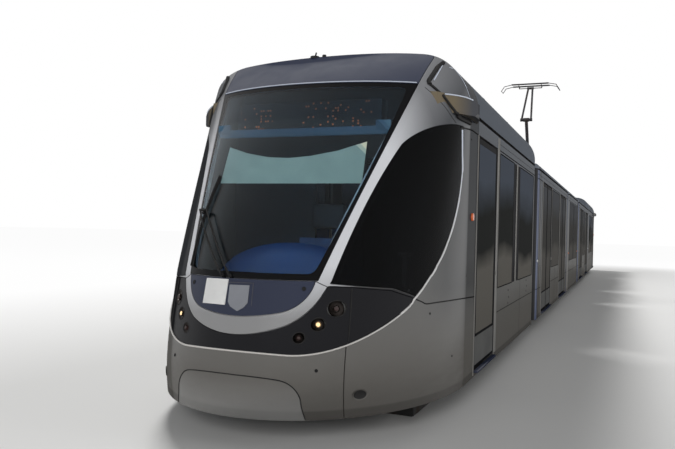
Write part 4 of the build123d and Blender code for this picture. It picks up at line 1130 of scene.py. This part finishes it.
class TRAM_OT_sides(bpy.types.Operator):
    """Window and door seals, door frames, buttons, steps, joints, posts and markers on the sides"""
    bl_idname = "tram.sides"
    bl_label = "Sides"

    def execute(self, context):
        x = HALF_WIDTH
        for body, key, windows, doors in (
                (FRONT, "front_", CAB_WINDOWS, CAB_DOORS), (LINK, "front_link_", LINK_WINDOWS, LINK_DOORS),
                (CENTRE, "centre_", CENTRE_WINDOWS, [])):
            seals = [tube(loop(y0, y1, SILL, WINDOW_TOP), 0.006, closed=True)
                     for y0, y1 in windows]
            steps, frames, knobs = [], [], []
            for y0, y1 in doors:
                leaves = [(y0, y1)] if body == FRONT else [(y0, (y0 + y1) / 2), ((y0 + y1) / 2, y1)]
                seals += [tube(loop(a + 0.006, b - 0.006, DOOR_LOW, DOOR_HIGH), 0.007, closed=True)
                          for a, b in leaves]
                frames += [tube([(x, y, DOOR_LOW - 0.05), (x, y, DOOR_HIGH + 0.01)], 0.009)
                           for y in (y0 - 0.018, y1 + 0.018)]
                steps.append(slab((x - 0.06, y0 + 0.02, 0.268), (x + 0.042, y1 - 0.02, 0.294), 0.008, 3))
                knobs.append(button((x + 0.001, y1 + 0.075, 1.18), OUTWARD, 0.026, 0.008, 0.004))
            dress(key + "window_seals", seals, "gasket", body, both=True)
            if doors:
                dress(key + "door_frames", frames, "edge", body, both=True)
                dress(key + "step_edges", steps, "step", body, both=True)
                dress(key + "door_buttons", knobs, "rail", body, both=True)
        self.lines()
        self.posts()
        self.edges()
        return {"FINISHED"}

    def edges(self):
        """Dark drip channel at the foot of the roof, the joint under it and the head of the cab window."""
        x = HALF_WIDTH
        for name, y0, y1, body in (("front_", -13.90, CAB_END - 0.16, FRONT),
                                   ("front_link_", LINK_FRONT + 0.16, LINK_REAR - 0.16, LINK),
                                   ("centre_", CENTRE_FRONT + 0.16, 0.0, CENTRE)):
            first = max(y0, -13.95) if body == FRONT else y0 - 0.07
            dress(name + "drip_channel", [slab((x - 0.016, y0, 2.700), (x + 0.0012, y1, 2.736), 0.002, 1),
                                          slab((x - 0.006, first, 2.554), (x + 0.0015, y1, 2.567), 0.001, 1)],
                  "gasket", body, both=True)
        head = [(1.287, -14.511, 2.549), (1.312, -14.412, 2.548), (1.325, -14.177, 2.562),
                (1.325, -13.94, 2.560)]
        dress("front_head_line", [seam(head, 0.0065, ["cab_shell", "windows"])],
              "gasket", FRONT, both=True)

    def lines(self):
        """Waist joint, joint over the windows and upright panel joints."""
        x = HALF_WIDTH

        def across(y0, y1, z, width=0.008):
            return slab((x - 0.004, y0, z - width / 2), (x + 0.0015, y1, z + width / 2), 0.001, 1)

        def upright(y, top, width=0.005):
            return slab((x - 0.004, y - width / 2, SKIRT_FOOT), (x + 0.0012, y + width / 2, top), 0.001, 1)

        def joints(waists, frieze, short, tall):
            return ([across(*ends, WAIST) for ends in waists] + [across(*frieze, FRIEZE, 0.004)]
                    + [upright(short, PANEL_TOP)] + [upright(y, WALL_HEAD) for y in tall])

        cab = joints([(-12.62, -9.38)], (-12.79, -9.38), -10.75, [-12.72])
        cab.append(upright(-13.896, WALL_HEAD, 0.006))
        link = joints([(-6.46, -4.62), (-8.83, -8.12), (-2.96, -2.25)], (-8.83, -2.25), -5.54, [])
        centre = joints([(-1.83, 0.0)], (-1.83, 0.0), 0.0, [-1.6])
        for name, body, parts in (("front_", FRONT, cab), ("front_link_", LINK, link),
                                  ("centre_", CENTRE, centre)):
            dress(name + "panel_joints", parts, "gasket", body, both=True)
        marks = []
        for y, z in ((-11.801, 0.928), (-10.092, 0.959)):
            marks += [button((x, y + dy, z + dz), OUTWARD, 0.010, 0.004, 0.002)
                      for dy, dz in ((0, 0), (0.05, -0.09), (0.0, -0.16))]
        dress("front_skirt_locks", marks, "gasket", FRONT, both=True)

    def posts(self):
        """Fired-glass post between the cab windows, satin ribs, and small end markers."""
        x = HALF_WIDTH
        first, second = CAB_WINDOWS
        dark = slab((x - 0.003, first[1] + 0.008, SILL), (x + 0.003, second[0] - 0.008, WINDOW_TOP), 0.002, 1)
        dress("front_window_post", [dark], "dark_gloss", FRONT, both=True)
        middle = (first[1] + second[0]) / 2
        ribs = [slab((x, middle - 0.045, SILL - 0.004), (x + 0.008, middle + 0.045, WINDOW_TOP + 0.004),
                     0.003),
                slab((x - 0.001, -12.775, 0.30), (x + 0.004, -12.655, WALL_TOP - 0.02), 0.002)]
        dress("front_window_ribs", ribs, "rail", FRONT, both=True)
        for name, y, look, body in (("front_link_markers", -8.72, "white", LINK),
                                    ("centre_markers", -1.72, "amber", CENTRE)):
            dress(name, [button((x, y, MARKER_HEIGHT), OUTWARD, 0.02, 0.010)], look, body, both=True)


class TRAM_OT_bellows(bpy.types.Operator):
    """Folded bellows across the four articulations"""
    bl_idname = "tram.bellows"
    bl_label = "Bellows"

    FOLDS = 9
    DEPTH = 0.042
    REACH = 0.176

    def execute(self, context):
        for name, joint, bodies in (
                ("front_outer_bellows", OUTER_JOINT, (FRONT, LINK)),
                ("front_inner_bellows", INNER_JOINT, (LINK, CENTRE))):
            skin = self.skin(joint)
            rear = turned_copy(skin, HALF_TURN)
            self.ride(finish(skin, name, "rubber", 25), bodies, joint, "front_link_bellows")
            self.ride(finish(rear, rear_name(name), "rubber", 25), [REAR_OF[b] for b in reversed(bodies)],
                      -joint, "rear_link_bellows")
        return {"FINISHED"}

    def ride(self, piece, bodies, joint, node):
        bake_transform(piece)
        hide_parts(node)

    def portal(self, grow):
        """Closed outline round the gangway."""
        half, low, high, radius = 1.055 + grow, 0.30 - grow, 2.515 + grow, 0.12
        corners = round_corners(-half, half, low, high, radius, 6)
        ring = []
        for corner, following in zip(corners, corners[1:] + corners[:1]):
            begin, end = corner[-1], following[0]
            ring += corner + [tuple(b + (e - b) * i / 8 for b, e in zip(begin, end)) for i in range(1, 8)]
        return ring

    def skin(self, joint):
        rows = 4 * self.FOLDS + 1
        profile = [0.5 - 0.5 * math.cos(math.tau * self.FOLDS * i / (rows - 1)) for i in range(rows)]
        rings = [self.portal(self.DEPTH * share) for share in profile]
        count = len(rings[0])
        piece = start("grid", x_subdivisions=count, y_subdivisions=rows - 1, size=1)
        xs = sorted({round(v.co.x, 5) for v in piece.data.vertices})
        ys = sorted({round(v.co.y, 5) for v in piece.data.vertices})
        column = {value: i for i, value in enumerate(xs)}
        line = {value: i for i, value in enumerate(ys)}
        for vertex in piece.data.vertices:
            i, j = column[round(vertex.co.x, 5)], line[round(vertex.co.y, 5)]
            px, pz = rings[j][i % count]
            vertex.co = (px, joint - self.REACH + 2 * self.REACH * j / (rows - 1), pz)
        edit(piece, (bpy.ops.mesh.remove_doubles, dict(threshold=0.0005)),
             (bpy.ops.mesh.normals_make_consistent, dict(inside=False)))
        thick = piece.modifiers.new("cloth", "SOLIDIFY")
        thick.thickness = 0.003
        thick.offset = -1
        only(piece)
        bpy.ops.object.modifier_apply(modifier="cloth")
        return piece


class TRAM_OT_roof(bpy.types.Operator):
    """Case lids, louvres, fan rings, lifting eyes, cables, antenna, seams and hatch of the roofs"""
    bl_idname = "tram.roof"
    bl_label = "Roof"

    def execute(self, context):
        for key, body, boxes in (("front_link_", LINK, [(-8.14, -5.79), (-5.29, -2.94)]),
                                 ("centre_", CENTRE, [(-1.5, 0.0)])):
            self.cases(key, body, boxes)
        spot, _ = on_skin(-0.20, -14.40, "top", ("front_roof",))
        mast = [button(spot, UPWARD, 0.045, 0.012),
                tube([spot, spot + Vector((0, 0.03, 0.055))], 0.008, curved=True),
                button(spot + Vector((0.10, 0.0, 0.002)), UPWARD, 0.02, 0.02)]
        dress("front_antenna", mast, "carbon", FRONT)
        names = ("front_roof", "front_cab_shell")
        lines = [([(x, y) for x in (-1.30, -1.1, -0.6, 0, 0.6, 1.1, 1.30)], 0.08) for y in (-11.37, -13.0)]
        lines += [([(x, -13.88), (x, -9.4)], 0.4) for x in (-0.72, 0.72)]
        seams = [tube(trail(line, "top", 0.0, step, names), 0.003) for line, step in lines]
        dress("front_roof_seams", seams, "gasket", FRONT)
        hatch = slab((-0.42, -12.75, 3.290), (0.42, -11.75, 3.2965), 0.003, 2)
        sunk(hatch, 0.03, 0.002, lambda face: face.normal.z > 0.99 and face.area > 0.2)
        dress("front_roof_hatch", [hatch], "case", FRONT)
        return {"FINISHED"}

    def cases(self, key, body, boxes):
        """Lids, louvres, fan rings with their guards, lifting eyes and cables of equipment cases."""
        lid_top, guard_top = 3.094, 3.0985
        louvre_pitch, clip_pitch = 0.09, 0.8
        lids, grilles, eyes = [], [], []
        for y0, y1 in boxes:
            y0, y1 = y0 + 0.03, y1 - (0.03 if y1 < 0 else 0.02)
            middle = (y0 + y1) / 2
            lids.append(slab((-0.80, y0, 3.06), (0.80, y1, lid_top), 0.012, 3))
            louvres = [y0 + 0.15 + louvre_pitch * k for k in range(int((y1 - y0 - 0.3) / louvre_pitch))]
            grilles += [slab((x - 0.008, y, 2.86), (x + 0.008, y + 0.05, 3.03), 0.006, 1)
                        for x in (-0.79, 0.79) for y in louvres]
            for x in (-0.4, 0.4):
                grilles.append(button((x, middle, lid_top), UPWARD, 0.24, 0.006, 0.004, 0.12, 1.0, 32))
                grilles += [slab((x - 0.2, y - 0.006, 3.090), (x + 0.2, y + 0.006, guard_top), 0.002, 1)
                            for y in (middle + d for d in (-0.12, -0.06, 0, 0.06, 0.12))]
            hoop = ((-0.03, 3.09), (-0.02, guard_top), (0.02, guard_top), (0.03, 3.09))
            eyes += [tube([(x, y + dy, z) for dy, z in hoop], 0.005, curved=True)
                     for x in (-0.7, 0.7) for y in (y0 + 0.12, y1 - 0.12)]
        begin, end = boxes[0][0], boxes[-1][1]
        rows = (-0.92, -0.98, 0.92)
        cables = [tube([(x, begin - 0.3, 2.85), (x, begin, 2.86), (x, end - 0.05, 2.86)], 0.018, curved=True)
                  for x in rows]
        spots = [begin + 0.2 + clip_pitch * k for k in range(int((end - begin) / clip_pitch))]
        cables += [slab((x - 0.03, y, 2.835), (x + 0.03, y + 0.04, 2.885), 0.004, 1)
                   for x in rows for y in spots]
        for name, parts, look in (("case_lids", lids, "case"), ("case_grilles", grilles, "grille"),
                                  ("lifting_eyes", eyes, "rail"), ("roof_cables", cables, "cable")):
            dress(key + name, parts, look, body)


class TRAM_OT_pantograph(bpy.types.Operator):
    """Insulators, springs and contact carbons of the pantograph"""
    bl_idname = "tram.pantograph"
    bl_label = "Pantograph"

    def execute(self, context):
        lowest, pitch, wide, narrow = 3.14, 0.045, 0.075, 0.062
        sheds = [button((x, y, lowest + pitch * k), UPWARD, wide if k % 2 else narrow, 0.010, vertices=20)
                 for x in (-0.41, 0.41) for y in (-0.30, 0.60) for k in range(5)]
        dress("pantograph_insulators", sheds, "ceramic", CENTRE, rear=False)
        springs = [self.coil((x, -0.20, 3.47), (x, 0.34, 3.50), 0.028, 16) for x in (-0.18, 0.18)]
        dress("pantograph_springs", springs, "rail", CENTRE, rear=False)
        carbons = [slab((-0.525, y - 0.022, 6.078), (0.525, y + 0.022, 6.0955), 0.005)
                   for y in (0.26, 0.58)]
        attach(finish(joined(carbons), "pantograph_carbons", "carbon"), "pantograph_head")
        return {"FINISHED"}

    def coil(self, begin, end, radius, turns):
        """Spring of round wire wound about the line from begin to end."""
        begin, end = Vector(begin), Vector(end)
        way = (end - begin).normalized()
        one = way.orthogonal().normalized()
        two = way.cross(one)
        count = turns * 10
        return tube([begin + (end - begin) * i / count
                     + radius * (math.cos(i * math.tau / 10) * one + math.sin(i * math.tau / 10) * two)
                     for i in range(count + 1)], radius * 0.22, curved=True, sides=1)


class TRAM_OT_underframe(bpy.types.Operator):
    """Near-black equipment boxes under the floors, partly standing in for the shade under the body, and the
    guards before the first wheels
    """
    bl_idname = "tram.underframe"
    bl_label = "Underframe"

    def execute(self, context):
        # near-black boxes that partly stand in for the shade under the body
        for name, body, half, boxes in (
                ("front_underframe", FRONT, 1.12, [(-15.2, -12.75, 0.13), (-9.95, -9.45, 0.13)]),
                ("front_link_underframe", LINK, 1.16,
                 [(-8.0, -6.2, 0.13), (-6.05, -5.0, 0.15), (-4.85, -3.1, 0.13)])):
            parts = [slab((-half, y0, foot), (half, y1, 0.292), 0.02) for y0, y1, foot in boxes]
            dress(name, parts, "under", body)
        guards = [slab((x - 0.03, -12.62, 0.06), (x + 0.03, -12.40, 0.30), 0.01) for x in (-0.72, 0.72)]
        dress("front_lifeguards", guards, "under", FRONT)
        return {"FINISHED"}


class TRAM_OT_saloon(bpy.types.Operator):
    """Grab poles inside, from the floor to the ceiling"""
    bl_idname = "tram.saloon"
    bl_label = "Saloon"

    def execute(self, context):
        pole_foot, pole_head = 0.38, 2.66
        cab = [(x, y) for x in (-0.62, 0.62) for y in (-13.80, -12.90)]
        link = [(x, y) for x in (-0.75, 0.75) for y in (-8.2, -6.4, -4.68, -2.88)] + [(0, -7.29), (0, -3.79)]
        for name, body, spots in (("front_grab_poles", FRONT, cab), ("front_link_grab_poles", LINK, link)):
            poles = [tube([(x, y, pole_foot), (x, y, pole_head)], 0.018) for x, y in spots]
            dress(name, poles, "rail", body)
        return {"FINISHED"}


FLOOR_SIZE = 400.0
LAMPS = [  # name, place, aimed at, size, power
    ("top_lamp", (-12, 2, 28), (0, -6, 1.5), 8, 8600),
    ("front_lamp", (6, -37, 9), (0, -14, 1.6), 9, 2450),
    ("side_lamp", (28, -10, 6), (0, -2, 1.5), 12, 1900),
    ("rear_lamp", (9, 34, 14), (0, 10, 1.5), 10, 2000),
]


class TRAM_OT_stage(bpy.types.Operator):
    """Add the floor, the sky, the soft lamps and the camera"""
    bl_idname = "tram.stage"
    bl_label = "Stage"

    def execute(self, context):
        stage = context.scene.tram_stage
        bpy.ops.object.select_all(action="DESELECT")
        bpy.ops.mesh.primitive_plane_add(size=FLOOR_SIZE, location=(0, 0, 0))
        floor = context.object
        floor.name = "studio_floor"
        self.floor_finish(floor)
        self.sky(context, stage)
        for name, place, target, size, power in LAMPS:
            bpy.ops.object.light_add(type="AREA", location=place)
            lamp = context.object
            lamp.name = name
            lamp.data.size = size
            lamp.data.energy = power
            lamp.visible_glossy = False
            direction = Vector(target) - Vector(place)
            lamp.rotation_euler = direction.to_track_quat("-Z", "Y").to_euler()
        self.camera(context, stage)
        context.scene.view_settings.view_transform = "Standard"
        return {"FINISHED"}

    def floor_finish(self, floor):
        """Pale paint that keeps the shadow near the tram and fades into the backdrop far from it."""
        n = Nodes("studio_floor_paint")
        n.set(Base_Color=n.mix(n.noise(0.4, 2.0), (0.76, 0.755, 0.74), (0.79, 0.785, 0.77)), Roughness=0.9,
              Specular_IOR_Level=0.1)
        x, y, _ = n.axes()
        off = [n.most(n.minus(n.size(axis), half), 0.0)
               for axis, half in ((x, HALF_WIDTH), (y, abs(NOSE_TIP)))]
        squares = [n.times(value, value) for value in off]
        away = n.ramp(n.root(n.plus(*squares)), 1.5, 9.0)
        white = n.add("ShaderNodeEmission")
        white.inputs["Strength"].default_value = 1.0
        faded = n.times(backdrop_rays(n.tree), n.math("SMOOTH_MIN", away, 1.0, 0.2))
        shade_between(n.tree, faded, n.shader.outputs[0], white.outputs[0], "Material Output")
        floor.data.materials.append(n.material)

    def sky(self, context, stage):
        """Faint cool sky for light, plain white for the eye, mirrors and glass."""
        world = bpy.data.worlds.new("studio_sky")
        context.scene.world = world
        world.use_nodes = True
        tree = world.node_tree
        light = tree.nodes["Background"]
        light.inputs["Color"].default_value = (0.93, 0.96, 1.0, 1)
        light.inputs["Strength"].default_value = stage.sky
        seen = tree.nodes.new("ShaderNodeBackground")
        seen.inputs["Color"].default_value = (1, 1, 1, 1)
        shade_between(tree, backdrop_rays(tree), light.outputs[0], seen.outputs[0], "World Output")

    def camera(self, context, stage):
        """Camera turned by yaw and pitch, then rolled about its view."""
        data = bpy.data.cameras.new("main_camera")
        data.lens = stage.camera_lens
        data.sensor_width = 36
        data.clip_end = 500
        camera = bpy.data.objects.new("main_camera", data)
        context.collection.objects.link(camera)
        yaw, pitch, roll = stage.camera_yaw, stage.camera_pitch, stage.camera_roll
        ahead = Vector((-math.sin(yaw) * math.cos(pitch), math.cos(yaw) * math.cos(pitch), math.sin(pitch)))
        right = ahead.cross(Vector((0, 0, 1))).normalized()
        up = right.cross(ahead)
        right, up = (math.cos(roll) * right + math.sin(roll) * up,
                     -math.sin(roll) * right + math.cos(roll) * up)
        camera.matrix_world = Matrix.Translation(stage.camera_place) @ Matrix(
            (right, up, -ahead)).transposed().to_4x4()
        context.scene.camera = camera


class TRAM_PT_panel(bpy.types.Panel):
    """Sidebar list of the steps that dress the tram"""
    bl_idname = "TRAM_PT_panel"
    bl_label = "Tram"
    bl_space_type = "VIEW_3D"
    bl_region_type = "UI"
    bl_category = "Tram"

    def draw(self, context):
        for step in STEPS:
            self.layout.operator(step.bl_idname)


STEPS = [TRAM_OT_finishes, TRAM_OT_nose, TRAM_OT_lamps, TRAM_OT_wiper, TRAM_OT_cab, TRAM_OT_sides,
         TRAM_OT_bellows, TRAM_OT_roof, TRAM_OT_pantograph, TRAM_OT_underframe, TRAM_OT_saloon,
         TRAM_OT_stage]
CLASSES = [TramColours, TramStage, *STEPS, TRAM_PT_panel]


def register():
    for cls in CLASSES:
        bpy.utils.register_class(cls)
    bpy.types.Scene.tram_colours = bpy.props.PointerProperty(type=TramColours)
    bpy.types.Scene.tram_stage = bpy.props.PointerProperty(type=TramStage)


def unregister():
    del bpy.types.Scene.tram_stage
    del bpy.types.Scene.tram_colours
    for cls in reversed(CLASSES):
        bpy.utils.unregister_class(cls)


def main():
    register()
    for step in STEPS:
        group, name = step.bl_idname.split(".")
        getattr(getattr(bpy.ops, group), name)()


if __name__ == "__main__":
    main()
